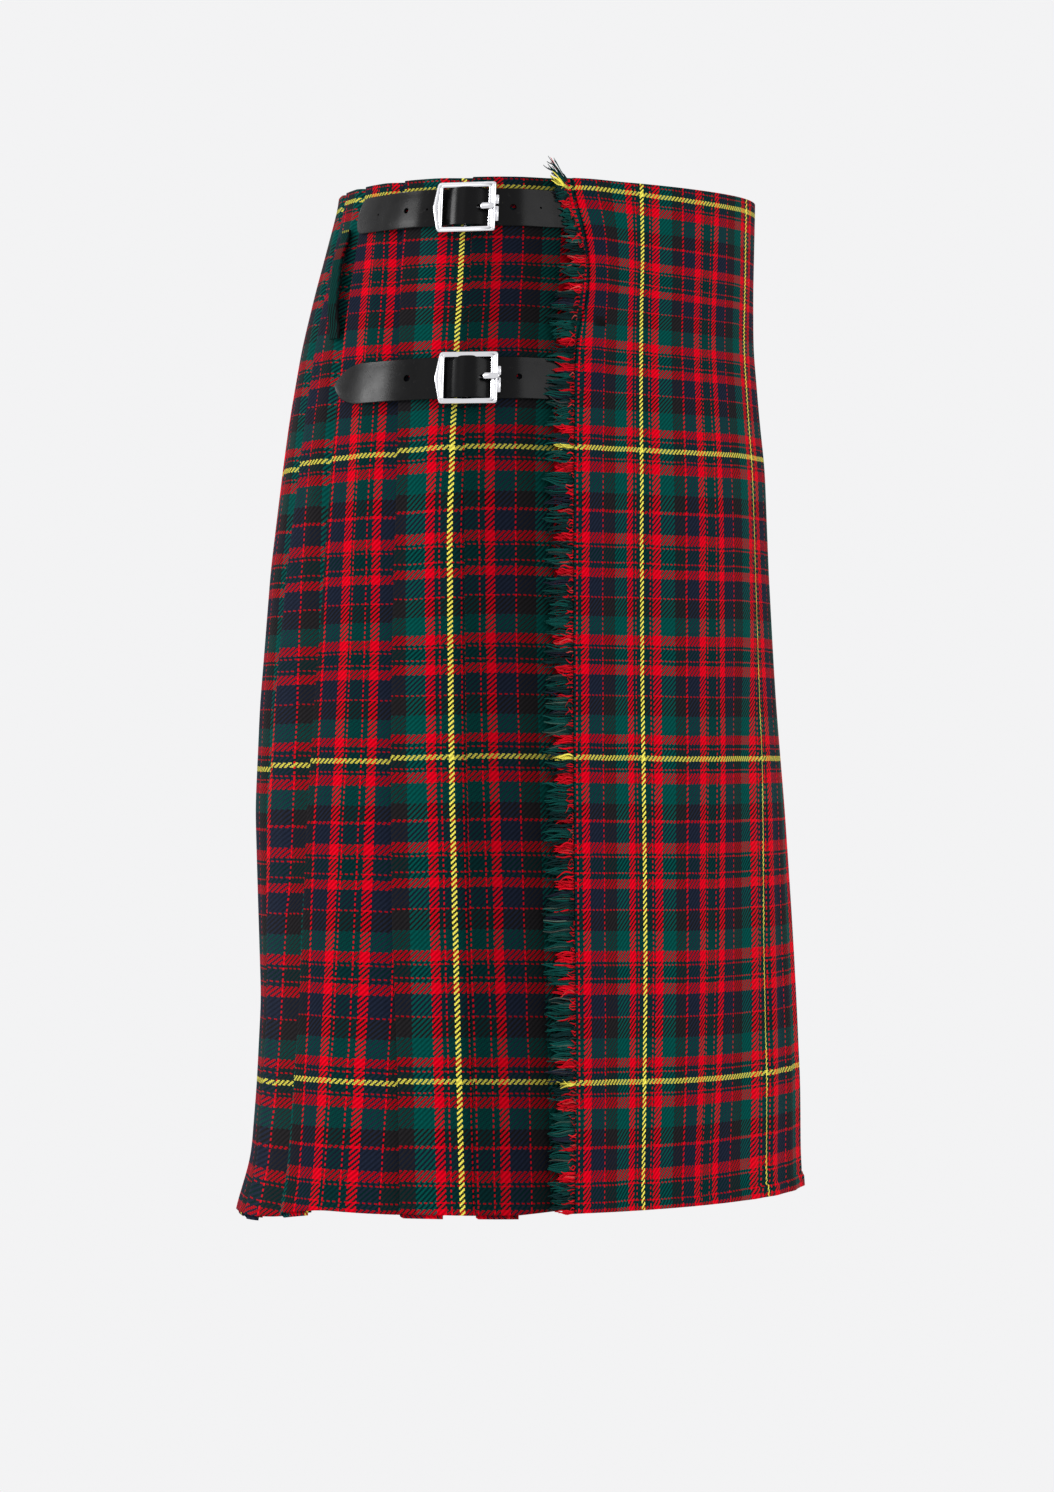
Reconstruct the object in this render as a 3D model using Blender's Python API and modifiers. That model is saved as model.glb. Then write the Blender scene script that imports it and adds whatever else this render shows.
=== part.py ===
"""A knife-pleated tartan kilt as it hangs on its wearer.

Metres, +Z up.  The wearer faces -Y, so the wearer's right side is at -X.
The origin is the centre of the waist, at the height of the upper strap.

The skirt is described by one surface: a closed outline at every height, made
of rounded quadrants, along which every piece of cloth is measured.
Distances along that outline start at the widest point of the right side and
grow forward; the pleats are counted backward from the same point.
"""

import math
from functools import lru_cache

import bmesh
import bpy
import numpy as np
from mathutils import Matrix, Vector

MM = 0.001

# Lengths of the garment
TOP_SIDE = 16.5 * MM          # waist edge above the upper strap's centre
TOP_RISE_BACK = 0.5 * MM
TOP_DROP_FRONT = 1.5 * MM
HEM_FRONT = -604.0 * MM
HEM_DROP_BACK = 14.0 * MM
HEM_DROP_FROM = 115.0 * MM    # distance behind the centre where the hem starts to drop
HEM_DROP_OVER = 70.0 * MM

# Cloth
CLOTH = 1.2 * MM
LAYER = 2.2 * MM              # spacing of the layers where a pleat is folded
TURN_RADIUS = LAYER / 2
PLEAT_TOP = 1.0 * MM          # mid-surface of a pleat's fold, out from the skirt's outline
PLEAT_LOW = PLEAT_TOP - 2 * LAYER
PLEAT_UNDER = 25.0 * MM       # cloth turned under behind each fold
UNDER_DROP = 2.2 * MM         # the turned-under layer hangs lower at the hem
APRON_OUT = -0.6 * MM
UNDER_APRON_OUT = -2.4 * MM
HIDDEN_PLEATS = 8             # evenly spaced pleats after the first three
PLEAT_COUNT = 3 + HIDDEN_PLEATS
LEFT_FOLD = 40.0 * MM         # last fold, forward of the widest point on the left
ROWS = (0.0, 0.05, 0.12, 0.20, 0.31, 0.43, 0.56, 0.69, 0.82, 0.92, 1.0)

# Over-apron and fringe
APRON_EDGE = 43.0 * MM
EDGE_OUT = 1.8 * MM
FRINGE_GAP = 0.35 * MM
FRINGE_WALL = 1.0 * MM

# Leather and metal
LEATHER = 1.8 * MM
CHAPE_LEATHER = 1.0 * MM
CHAPE_WIDTH = 19.0 * MM
CHAPE_LENGTH = 30.0 * MM
GAP = 0.35 * MM
SEAT_EASE = 0.3 * MM           # flat leather over cloth that is a little rounded
SEAT_PLEATS = PLEAT_TOP + CLOTH / 2 + SEAT_EASE
SEAT_APRON = APRON_OUT + CLOTH / 2 + SEAT_EASE
FRAME_LIFT = 4.0 * MM         # underside of a frame above the cloth
FRAME_THICK = 2.6 * MM
FRAME_LENGTH = 36.8 * MM
END_BAR = 3.8 * MM
SIDE_BAR = 3.4 * MM
POINT = 2.2 * MM              # the rear bar comes to a shallow point
BAR_LIFT = 3.4 * MM
BAR_RADIUS = 1.0 * MM
LOOP_INNER = 1.25 * MM
LOOP_OUTER = 2.25 * MM
PRONG_RADIUS = 0.95 * MM
PRONG_EYE = 2.1 * MM
PRONG_WIDTH = 2.6 * MM
SLOT_WIDTH = 3.6 * MM

# Belt loops
LOOP_WIDTH = 13.0 * MM
LOOP_TOP = -14.0 * MM
LOOP_BOTTOM = -76.0 * MM
LOOP_STAND = 3.0 * MM         # room for a thin belt behind the loop
LOOP_BEHIND = 110.0 * MM      # distance behind the centre at which it is sewn on

# The outline of the skirt: height, half width, depth in front, depth behind,
# and how square the back quadrants are (2 is an ellipse).
OUTLINE_COLUMNS = ("height", "half_width", "front", "back", "squareness")
OUTLINE = np.array([
    (18, 160, 148.0, 115.5, 2.00),
    (-40, 167, 146.6, 131.0, 2.05),
    (-75, 173, 146.6, 139.3, 2.10),
    (-120, 180, 150.5, 147.0, 2.15),
    (-150, 186.5, 154.0, 151.0, 2.20),
    (-215, 196, 156.5, 158.7, 2.30),
    (-300, 208, 161.0, 165.0, 2.45),
    (-365, 217, 165.5, 167.0, 2.55),
    (-450, 228, 170.0, 163.6, 2.60),
    (-485, 232.5, 171.8, 162.4, 2.60),
    (-540, 240, 174.7, 165.0, 2.60),
    (-585, 246.5, 175.5, 168.6, 2.60),
    (-622, 251, 179.0, 180.0, 2.60),
])
WIDEST = 12.0 * MM            # the widest points lie this far behind the centre
FRONT_TAPER = 1.6             # below 2 the sides turn in early towards the front
QUADRANT_STEPS = 160

# Folds of the first pleats, measured backward from the widest point, in mm.
FOLD_COLUMNS = ("height", "under_apron", "pleat_01", "pleat_02", "pleat_03")
FOLDS = np.array([
    (20, 18, 68, 113, 153),
    (-148, 23, 66, 122, 168),
    (-240, 22.5, 67.5, 124.5, 178.5),
    (-333, 21, 67.6, 130.2, 187.5),
    (-430, 19, 66.3, 138.5, 206),
    (-526, 17, 62.2, 150.6, 221),
    (-615, 15, 60.2, 159, 232),
])

# Reach of the fringe in front of the widest point: height and outer end, in mm.
FRINGE_COLUMNS = ("height", "outer_end")
FRINGE = np.array([
    (20, 31), (-15, 34), (-32, 36), (-60, 30), (-100, 28), (-610, 27),
])


def column(table, columns, name, height):
    """Read one column of a table at a height; heights fall down the table."""
    index = columns.index(name)
    return float(np.interp(-height / MM, -table[:, 0], table[:, index]))


def smooth(value):
    value = min(max(value, 0.0), 1.0)
    return value * value * (3 - 2 * value)


@lru_cache(maxsize=None)
def outline(height):
    """The closed outline at one height, and the distance along it."""
    width = column(OUTLINE, OUTLINE_COLUMNS, "half_width", height) * MM
    front = column(OUTLINE, OUTLINE_COLUMNS, "front", height) * MM + WIDEST
    back = column(OUTLINE, OUTLINE_COLUMNS, "back", height) * MM - WIDEST
    square = column(OUTLINE, OUTLINE_COLUMNS, "squareness", height)
    turn = np.linspace(0, math.pi / 2, QUADRANT_STEPS)
    front_x = width * np.cos(turn)
    front_y = WIDEST - front * np.sin(turn) ** (2 / FRONT_TAPER)
    back_x = width * np.cos(turn) ** (2 / square)
    back_y = WIDEST + back * np.sin(turn) ** (2 / square)
    x = np.concatenate([-front_x, front_x[::-1], back_x, -back_x[::-1]])
    y = np.concatenate([front_y, front_y[::-1], back_y, back_y[::-1]])
    step = np.hypot(np.diff(x), np.diff(y))
    keep = np.concatenate([[True], step > 1e-9])
    x, y = x[keep], y[keep]
    distance = np.concatenate([[0], np.cumsum(np.hypot(np.diff(x), np.diff(y)))])
    across_front = slice(0, 2 * QUADRANT_STEPS - 2)
    half_front = float(np.interp(0.0, x[across_front], distance[across_front]))
    return x, y, distance, half_front


def around(height):
    return float(outline(height)[2][-1])


def front_half(height):
    """From the widest point on the right, round the front, to that on the left."""
    return 2 * outline(height)[3]


def flat_point(s, height):
    x, y, distance, _ = outline(height)
    s = s % distance[-1]
    return Vector((float(np.interp(s, distance, x)), float(np.interp(s, distance, y)), height))


def axes(s, height):
    """Forward, upward and outward directions of the skirt's surface."""
    step = 1.5 * MM
    forward = (flat_point(s + step, height) - flat_point(s - step, height)).normalized()
    upward = flat_point(s, height + step) - flat_point(s, height - step)
    upward = (upward - forward * upward.dot(forward)).normalized()
    return forward, upward, forward.cross(upward)


def on_skirt(s, height, out):
    return flat_point(s, height) + axes(s, height)[2] * out


def distance_behind(behind, height):
    """Distance along the outline, backward on the right, to a point that far behind the centre."""
    x, y, distance, _ = outline(height)
    right_back = (x < 0) & (y > WIDEST)
    return float(distance[-1] - np.interp(behind, y[right_back][::-1], distance[right_back][::-1]))


def top_edge(s):
    behind = flat_point(s, TOP_SIDE).y
    rise_back = TOP_RISE_BACK * smooth((behind - 20 * MM) / (90 * MM))
    drop_front = TOP_DROP_FRONT * smooth((-behind - 20 * MM) / (110 * MM))
    return TOP_SIDE + rise_back - drop_front


def hem_edge(s):
    behind = flat_point(s, HEM_FRONT).y
    return HEM_FRONT - HEM_DROP_BACK * smooth((behind - HEM_DROP_FROM) / HEM_DROP_OVER)


def material(name, colour, roughness, metallic=0.0):
    made = bpy.data.materials.new(name)
    made.use_nodes = True
    shader = made.node_tree.nodes["Principled BSDF"]
    shader.inputs["Base Color"].default_value = (*colour, 1.0)
    shader.inputs["Roughness"].default_value = roughness
    shader.inputs["Metallic"].default_value = metallic
    made.diffuse_color = (*colour, 1.0)
    return made


def collection(name):
    made = bpy.data.collections.new(name)
    bpy.context.scene.collection.children.link(made)
    return made


def add_object(name, mesh, home, look):
    made = bpy.data.objects.new(name, mesh)
    home.objects.link(made)
    mesh.materials.clear()
    mesh.materials.append(look)
    return made


def wall(name, grid, thickness, home, look):
    """An open sheet through a grid of points, thickened equally to both sides."""
    rows, columns = len(grid), len(grid[0])
    sheet = bmesh.new()
    points = [[sheet.verts.new(point) for point in row] for row in grid]
    for i in range(rows - 1):
        for j in range(columns - 1):
            corners = (points[i][j], points[i + 1][j], points[i + 1][j + 1], points[i][j + 1])
            sheet.faces.new(corners)
    mesh = bpy.data.meshes.new(name)
    sheet.to_mesh(mesh)
    sheet.free()
    made = add_object(name, mesh, home, look)
    thicken = made.modifiers.new("thickness", "SOLIDIFY")
    thicken.thickness = thickness
    thicken.offset = 0.0
    thicken.use_even_offset = True
    thicken.use_quality_normals = True
    return made


def cloth(name, profile, home, look):
    """A panel whose profile(height) lists (distance, out, lower) for each column."""
    grid = []
    for share in ROWS:
        row = []
        for index in range(len(profile(0.0))):
            guess = TOP_SIDE + (HEM_FRONT - TOP_SIDE) * share
            s, _, lower = profile(guess)[index]
            top, hem = top_edge(s), hem_edge(s) - lower
            height = round(top + (hem - top) * share, 6)
            s, out, _ = profile(height)[index]
            row.append(on_skirt(s, height, out))
        grid.append(row)
    return wall(name, grid, CLOTH, home, look)


def fold(number, height):
    """Distance of a fold behind the widest point; 0 is the under-apron's fold."""
    if number < 4:
        return column(FOLDS, FOLD_COLUMNS, FOLD_COLUMNS[1 + number], height) * MM
    first = column(FOLDS, FOLD_COLUMNS, "pleat_03", height) * MM
    last = around(height) - front_half(height) + LEFT_FOLD
    return first + (last - first) * (number - 3) / HIDDEN_PLEATS


def turned_fold(end, start_out):
    """The columns of a fold at distance `end`, from its outer layer to its turned-under one."""
    middle = (PLEAT_TOP + start_out) / 2
    columns = [(-(end - PLEAT_UNDER / 2), PLEAT_TOP, 0.0)]
    for step in range(5):
        angle = math.pi / 2 - step * math.pi / 4
        back = end - TURN_RADIUS + TURN_RADIUS * math.cos(angle)
        out = middle + TURN_RADIUS * math.sin(angle)
        columns.append((-back, out, UNDER_DROP * step / 4))
    columns.append((-(end - PLEAT_UNDER), start_out, UNDER_DROP))
    return columns


def pleat_profile(number):
    """One knife pleat: it starts under the fold before it and folds over the one after it."""
    def profile(height):
        before, end = fold(number - 1, height), fold(number, height)
        shows, level = before + 2 * MM, end - PLEAT_UNDER
        columns = [(-(before - PLEAT_UNDER), PLEAT_LOW, 0.0)]
        for step in range(4):
            share = step / 3
            out = PLEAT_LOW + 2 * LAYER * smooth(share)
            columns.append((-(shows + (level - shows) * share), out, 0.0))
        return columns + turned_fold(end, PLEAT_LOW + LAYER)
    return profile


def under_apron_profile(height):
    """From its free edge near the left front to the fold that lies over the first pleat."""
    free_edge = front_half(height) - LEFT_FOLD - 70 * MM
    ramp_from, ramp_to = 32 * MM, PLEAT_UNDER - fold(0, height)
    steps = 24
    columns = []
    for step in range(steps):
        columns.append((free_edge + (ramp_from - free_edge) * step / (steps - 1), UNDER_APRON_OUT, -2 * MM))
    for step in range(1, 4):
        share = step / 3
        out = UNDER_APRON_OUT + (PLEAT_TOP - UNDER_APRON_OUT) * smooth(share)
        columns.append((ramp_from + (ramp_to - ramp_from) * share, out, -2 * MM * (1 - share)))
    return columns + turned_fold(fold(0, height), PLEAT_LOW + LAYER)


def over_apron_profile(height):
    """From the fringed edge round the front to its start under the last pleat's fold."""
    columns = []
    for along, out in ((0, EDGE_OUT), (9, EDGE_OUT), (16, 0.9 * MM), (24, -0.2 * MM), (32, APRON_OUT)):
        columns.append((APRON_EDGE + along * MM, out, 0.0))
    left_fold = front_half(height) - LEFT_FOLD
    flat_from, flat_to = APRON_EDGE + 32 * MM, left_fold - 38 * MM
    steps = 22
    for step in range(1, steps):
        columns.append((flat_from + (flat_to - flat_from) * step / (steps - 1), APRON_OUT, 0.0))
    for along, share in ((14, 0.4), (26, 0.8), (35, 1.0), (38 + PLEAT_UNDER / MM, 1.0)):
        out = APRON_OUT + (PLEAT_LOW - APRON_OUT) * share
        columns.append((flat_to + along * MM, out, 0.0))
    return columns[::-1]


def fringe_profile(height):
    base = APRON_EDGE - FRINGE_GAP
    end = column(FRINGE, FRINGE_COLUMNS, "outer_end", height) * MM
    return [(base + (end - base) * share, EDGE_OUT, 0.0) for share in (0.0, 0.5, 1.0)]


class Lane:
    """The level line that a strap follows from its root, on the right or the left side."""

    def __init__(self, side, height, root, seat, buckle, tail, width):
        self.side, self.height, self.root, self.seat = side, height, root, seat
        self.buckle, self.tail, self.width = buckle, tail, width

    def distance(self, p):
        if self.side == "right":
            return self.root - p
        return front_half(self.height) - self.root - p

    def point(self, p, out, across=0.0):
        s = self.distance(p)
        _, upward, outward = axes(s, self.height)
        return flat_point(s, self.height) + outward * out + upward * across

    def site(self):
        """Place of the buckle: x towards the root, y up, z out."""
        origin = self.point(self.buckle, 0.0)
        forward, upward, outward = axes(self.distance(self.buckle), self.height)
        place = Matrix((forward, upward, outward)).transposed().to_4x4()
        place.translation = origin
        return place

    def local(self, p, out):
        """A point beside the strap's line in the site's x and z."""
        point = self.site().inverted() @ self.point(p, out)
        return point.x, point.z

    def cloth_dip(self, p):
        """The under-apron lies lower than the pleats near the right straps' roots."""
        if self.side != "right":
            return 0.0
        s = self.distance(p)
        low, high = 32 * MM, PLEAT_UNDER - fold(0, self.height)
        return (UNDER_APRON_OUT - PLEAT_TOP) * smooth((s - high) / (low - high))


# Height of a strap's middle above the cloth, by distance past the buckle's centre bar.
STRAP_RISE = (
    (-30.0, 1.25), (-22.0, 1.3), (-15.5, 1.7), (-11.0, 2.7), (-7.0, 4.9), (-3.4, 6.5), (0.0, 6.85),
    (3.4, 6.5), (7.0, 4.9), (11.0, 2.9), (15.5, 2.8), (21.0, 2.8), (26.5, 2.8), (32.0, 2.8), (41.0, 1.25),
)


def strap_stations(lane):
    rise = [(lane.buckle + past * MM, lift * MM) for past, lift in STRAP_RISE]
    before = [(p * MM, rise[0][1]) for p in (0, 8, 16, 22, 28, 34, 40)]
    before = [station for station in before if station[0] < rise[0][0] - 2 * MM]
    after_from, after_to = rise[-1][0], lane.tail - lane.width * 0.42
    after = [(after_from + (after_to - after_from) * k / 2, rise[-1][1]) for k in (1, 2)]
    tip = [(lane.tail - lane.width * 0.42 * left, rise[-1][1]) for left in (0.55, 0.2, 0.0)]
    return before + rise + after + tip


def tip_width(lane, p):
    """Half width of the strap, drawn in to a blunt round tail end."""
    into = (p - (lane.tail - lane.width * 0.42)) / (lane.width * 0.42)
    return lane.width / 2 * math.sqrt(max(0.0, 1 - 0.8 * max(0.0, into) ** 2.4))


def strap(name, lane, home, guides, look):
    grid = []
    for across in (1, 0, -1):
        row = []
        for p, lift in strap_stations(lane):
            out = lane.seat + lift + lane.cloth_dip(p)
            row.append(lane.point(p, out, across * tip_width(lane, p)))
        grid.append(row)
    made = wall(name, grid, LEATHER, home, look)
    cut(made, box_cutter(name + "_slot", lane.site(), (1.6, 10.4), 3.2, (0.0, 14.0), guides))
    return made


def box_cutter(name, place, span_x, width_y, span_z, guides):
    """A hidden block, in millimetres in the place's own axes."""
    bpy.ops.mesh.primitive_cube_add(size=1)
    block = bpy.context.object
    block.name = name
    size = Vector((span_x[1] - span_x[0], width_y, span_z[1] - span_z[0])) * MM
    middle = Vector((sum(span_x) / 2, 0, sum(span_z) / 2)) * MM
    block.matrix_world = place @ Matrix.Translation(middle) @ Matrix.Diagonal((*size, 1))
    for owner in list(block.users_collection):
        owner.objects.unlink(block)
    guides.objects.link(block)
    block.hide_render = True
    block.display_type = "WIRE"
    return block


def cut(target, tool, operation="DIFFERENCE"):
    change = target.modifiers.new(operation.lower(), "BOOLEAN")
    change.operation = operation
    change.object = tool
    change.solver = "EXACT"


def welded_copy(name, curve):
    """The curve as a mesh whose caps are joined to its sides; the curve is removed."""
    holder = bpy.data.objects.new(name, curve)
    bpy.context.scene.collection.objects.link(holder)
    bpy.context.view_layer.update()
    evaluated = holder.evaluated_get(bpy.context.evaluated_depsgraph_get())
    mesh = bpy.data.meshes.new_from_object(evaluated)
    shape = bmesh.new()
    shape.from_mesh(mesh)
    bmesh.ops.remove_doubles(shape, verts=shape.verts, dist=1e-6)
    bmesh.ops.recalc_face_normals(shape, faces=shape.faces)
    shape.to_mesh(mesh)
    shape.free()
    bpy.data.objects.remove(holder)
    bpy.data.curves.remove(curve)
    return mesh


def flat_shape(name, outlines, thickness, bevel=0.0):
    """A welded mesh from closed outlines in x, y, with the given thickness in z."""
    curve = bpy.data.curves.new(name, "CURVE")
    curve.dimensions = "2D"
    curve.fill_mode = "BOTH"
    curve.extrude = thickness / 2 - bevel
    curve.bevel_depth = bevel
    curve.bevel_resolution = 0
    if bevel:
        curve.offset = -bevel
    for points in outlines:
        spline = curve.splines.new("POLY")
        spline.points.add(len(points) - 1)
        for item, (x, y) in zip(spline.points, points):
            item.co = (x, y, 0, 1)
        spline.use_cyclic_u = True
    return welded_copy(name, curve)


def circle(centre, radius, steps=16, start=0.0, sweep=2 * math.pi, ends=False):
    count = steps + 1 if ends else steps
    return [(centre[0] + radius * math.cos(start + sweep * k / steps),
             centre[1] + radius * math.sin(start + sweep * k / steps)) for k in range(count)]


def rounded(corners, radius, steps=3):
    """A closed outline through the corners, each rounded with an arc of short sides."""
    points = []
    for index, corner in enumerate(corners):
        here = Vector(corner)
        to_last = (Vector(corners[index - 1]) - here).normalized()
        to_next = (Vector(corners[(index + 1) % len(corners)]) - here).normalized()
        reach = radius / math.tan(to_last.angle(to_next) / 2)
        start, end = here + to_last * reach, here + to_next * reach
        for k in range(steps + 1):
            share = k / steps
            blend = start * (1 - share) ** 2 + here * 2 * share * (1 - share) + end * share ** 2
            points.append((blend.x, blend.y))
    return points


def hidden_copy(name, mesh, place, guides):
    made = bpy.data.objects.new(name, mesh)
    guides.objects.link(made)
    made.matrix_world = place
    made.hide_render = True
    made.display_type = "WIRE"
    return made


def rod(name, points, radius):
    """A round closed bar through the points."""
    curve = bpy.data.curves.new(name, "CURVE")
    curve.dimensions = "3D"
    curve.bevel_depth = radius
    curve.bevel_resolution = 2
    curve.use_fill_caps = True
    spline = curve.splines.new("POLY")
    spline.points.add(len(points) - 1)
    for item, point in zip(spline.points, points):
        item.co = (*point, 1)
    return welded_copy(name, curve)


def buckle_frame(name, lane, home, guides, look):
    """Double-bar frame: rounded oblong, rear bar drawn to a shallow point, lug behind the front bar."""
    half_length, half_open = FRAME_LENGTH / 2, lane.width / 2 + 0.4 * MM
    half_height = half_open + SIDE_BAR
    lug, lug_half = 1.6 * MM, 8.0 * MM
    outer = rounded([
        (half_length, -half_height), (half_length, half_height),
        (-half_length + 1.6 * MM, half_height), (-half_length - POINT * 0.4, 0.0),
        (-half_length + 1.6 * MM, -half_height)], 2.0 * MM)
    inside_front, inside_rear = half_length - END_BAR, -half_length + END_BAR + 1.5 * MM
    inner = rounded([
        (inside_front, -half_open), (inside_front, half_open),
        (inside_rear, half_open), (inside_rear, -half_open)], 0.8 * MM)
    place = lane.site() @ Matrix.Translation((0, 0, lane.seat + FRAME_LIFT + FRAME_THICK / 2))
    made = add_object(name, flat_shape(name, [outer, inner], FRAME_THICK, 0.5 * MM), home, look)
    made.matrix_world = place
    bar_z = BAR_LIFT - FRAME_LIFT - FRAME_THICK / 2
    bar_end = half_height - 1.2 * MM
    bar = rod(name + "_bar", ((0, -bar_end, bar_z), (0, bar_end, bar_z)), BAR_RADIUS)
    cut(made, hidden_copy(name + "_bar", bar, place, guides), "UNION")
    block = box_cutter(name + "_lug", place, ((half_length - 1.5 * MM) / MM, (half_length + lug) / MM),
                       2 * lug_half / MM, (-1.0, 0.4), guides)
    cut(made, block, "UNION")
    return made


def prong(name, lane, home, guides, look):
    """An eye round the centre bar and a needle that rests on the front bar."""
    bar = (0.0, lane.seat + BAR_LIFT)
    eye = flat_shape(name, [circle((0, 0), PRONG_EYE), circle((0, 0), LOOP_INNER, 12)], PRONG_WIDTH)
    stand = Matrix(((1, 0, 0, 0), (0, 0, -1, 0), (0, 1, 0, bar[1]), (0, 0, 0, 1)))
    place = lane.site() @ stand
    made = add_object(name, eye, home, look)
    made.matrix_world = place
    rest = FRAME_LIFT + FRAME_THICK + 0.3 * MM + PRONG_RADIUS - BAR_LIFT
    bar_from = FRAME_LENGTH / 2 - END_BAR - 1.0 * MM
    tip = FRAME_LENGTH / 2 + 1.4 * MM
    route = ((1.7 * MM, 0.3 * MM, 0), (5.0 * MM, 1.2 * MM, 0), (bar_from, rest, 0), (tip, rest, 0))
    needle = rod(name + "_needle", route, PRONG_RADIUS)
    cut(made, hidden_copy(name + "_needle", needle, place, guides), "UNION")
    return made


def chape(name, lane, home, guides, look):
    """A leather tab looped round the centre bar, its tail sewn to the cloth under the strap."""
    centre = (0.0, lane.seat + BAR_LIFT)
    inner_face, outer_face = lane.seat + GAP, lane.seat + GAP + CHAPE_LEATHER
    loop = circle(centre, LOOP_OUTER, 12, math.radians(-105), math.radians(270), True)
    past = (5, 10, 16, 23, CHAPE_LENGTH / MM)
    upper = [lane.local(lane.buckle + d * MM, outer_face) for d in past]
    lower = [lane.local(lane.buckle + d * MM, inner_face) for d in past]
    outline_points = loop + upper + lower[::-1]
    hole = circle(centre, LOOP_INNER, 12)
    mesh = flat_shape(name, [outline_points, hole], CHAPE_WIDTH)
    stand = Matrix(((1, 0, 0, 0), (0, 0, -1, 0), (0, 1, 0, 0), (0, 0, 0, 1)))
    made = add_object(name, mesh, home, look)
    made.matrix_world = lane.site() @ stand
    floor = lane.seat / MM
    cut(made, box_cutter(name + "_slot", lane.site(), (-2.6, 4.0), SLOT_WIDTH / MM,
                         (floor + 1.0, floor + 8.0), guides))
    return made


def belt_loop(name, side, home, look):
    """A narrow strip sewn down at both ends, standing off the cloth between them."""
    top_s = distance_behind(LOOP_BEHIND - 3 * MM, LOOP_TOP)
    low_s = distance_behind(LOOP_BEHIND + 4 * MM, LOOP_BOTTOM)
    lay = SEAT_PLEATS + 0.3 * MM + CLOTH / 2
    stations = ((0.0, 0.0), (0.10, 0.0), (0.18, 0.6), (0.3, 1.0), (0.5, 1.0), (0.7, 1.0),
                (0.82, 0.6), (0.90, 0.0), (1.0, 0.0))
    grid = []
    for share, stand in stations:
        height = LOOP_TOP + (LOOP_BOTTOM - LOOP_TOP) * share
        behind = top_s + (low_s - top_s) * share
        row = []
        for across in (-0.5, 0.0, 0.5):
            point = on_skirt(-behind + across * LOOP_WIDTH, height, lay + LOOP_STAND * stand)
            if side == "left":
                point.x = -point.x
            row.append(point)
        grid.append(row if side == "right" else row[::-1])
    return wall(name, grid, CLOTH, home, look)


def build():
    for item in list(bpy.data.objects):
        bpy.data.objects.remove(item)
    home, guides = collection("kilt"), collection("cutters")

    for name, profile, colour in (
            ("over_apron", over_apron_profile, (0.24, 0.02, 0.03)),
            ("under_apron", under_apron_profile, (0.01, 0.09, 0.07))):
        cloth(name, profile, home, material(name, colour, 0.9))
    for number in range(1, PLEAT_COUNT + 1):
        name = f"pleat_{number:02d}"
        tint = 0.06 + 0.10 * (number % 2)
        cloth(name, pleat_profile(number), home, material(name, (tint, 0.03, 0.04), 0.9))

    wall_grid = []
    for share in ROWS:
        height = TOP_SIDE + (HEM_FRONT - TOP_SIDE) * share
        wall_grid.append([on_skirt(s, height, out) for s, out, _ in fringe_profile(height)][::-1])
    wall("fringe", wall_grid, FRINGE_WALL, home, material("fringe", (0.02, 0.10, 0.08), 0.95))

    lanes = {
        "upper": Lane("right", 0.0, 52 * MM, SEAT_PLEATS, 76 * MM, 162 * MM, 22.8 * MM),
        "lower": Lane("right", -104.8 * MM, 52 * MM, SEAT_PLEATS, 75 * MM, 173 * MM, 24.4 * MM),
        "left": Lane("left", 0.0, 41.2 * MM, SEAT_APRON, 55 * MM, 128 * MM, 22.8 * MM),
    }
    for side, lane in lanes.items():
        leather = material("strap_" + side, (0.025, 0.025, 0.027), 0.4)
        strap("strap_" + side, lane, home, guides, leather)
        chape("chape_" + side, lane, home, guides, material("chape_" + side, (0.02, 0.02, 0.02), 0.5))
        chrome = material("buckle_" + side, (0.85, 0.85, 0.87), 0.12, 1.0)
        buckle_frame("buckle_" + side, lane, home, guides, chrome)
        prong("prong_" + side, lane, home, guides, material("prong_" + side, (0.85, 0.85, 0.87), 0.12, 1.0))

    for side in ("right", "left"):
        name = "belt_loop_" + side
        belt_loop(name, side, home, material(name, (0.01, 0.06, 0.05), 0.9))


build()
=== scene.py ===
"""The finish of a knife-pleated tartan kilt, worn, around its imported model.

Metres, +Z up.  The wearer faces -Y, so the wearer's right side is at -X.
Every panel of cloth is laid out on one surface, the form of the skirt, where
a place is given by its arc and its height.  The arc starts at the widest point
of the right side and grows forward; the pleats are counted backward from there.
Each vertex of cloth also carries its place in the weave, from which one
material reads the tartan's chart thread by thread.
"""

import logging
import math
from collections.abc import Callable, Sequence
from dataclasses import dataclass
from enum import Enum

import bmesh
import bpy
import numpy as np
from mathutils import Matrix, Vector


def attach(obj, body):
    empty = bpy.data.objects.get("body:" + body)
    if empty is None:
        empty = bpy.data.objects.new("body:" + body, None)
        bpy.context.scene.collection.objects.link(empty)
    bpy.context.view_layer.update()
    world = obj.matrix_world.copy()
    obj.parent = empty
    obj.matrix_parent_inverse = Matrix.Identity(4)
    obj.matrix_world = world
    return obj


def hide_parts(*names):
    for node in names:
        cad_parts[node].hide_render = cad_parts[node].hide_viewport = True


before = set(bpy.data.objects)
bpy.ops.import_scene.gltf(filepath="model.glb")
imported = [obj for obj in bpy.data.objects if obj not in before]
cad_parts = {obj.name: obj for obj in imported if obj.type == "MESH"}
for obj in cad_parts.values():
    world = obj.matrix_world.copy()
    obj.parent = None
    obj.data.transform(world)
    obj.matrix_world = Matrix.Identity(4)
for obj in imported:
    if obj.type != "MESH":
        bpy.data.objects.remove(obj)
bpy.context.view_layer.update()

log = logging.getLogger("kilt")

Array = np.ndarray
Piece = bpy.types.Object
Finish = bpy.types.Material
Socket = bpy.types.NodeSocket
Colour = tuple[float, float, float]
Point = tuple[float, float]
Skin = tuple[np.ndarray, list]  # a mesh's points and faces

MM = 0.001
BODY = "root"
WEAVE_MAP = "weave"  # the UV map that every finish reads

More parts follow.
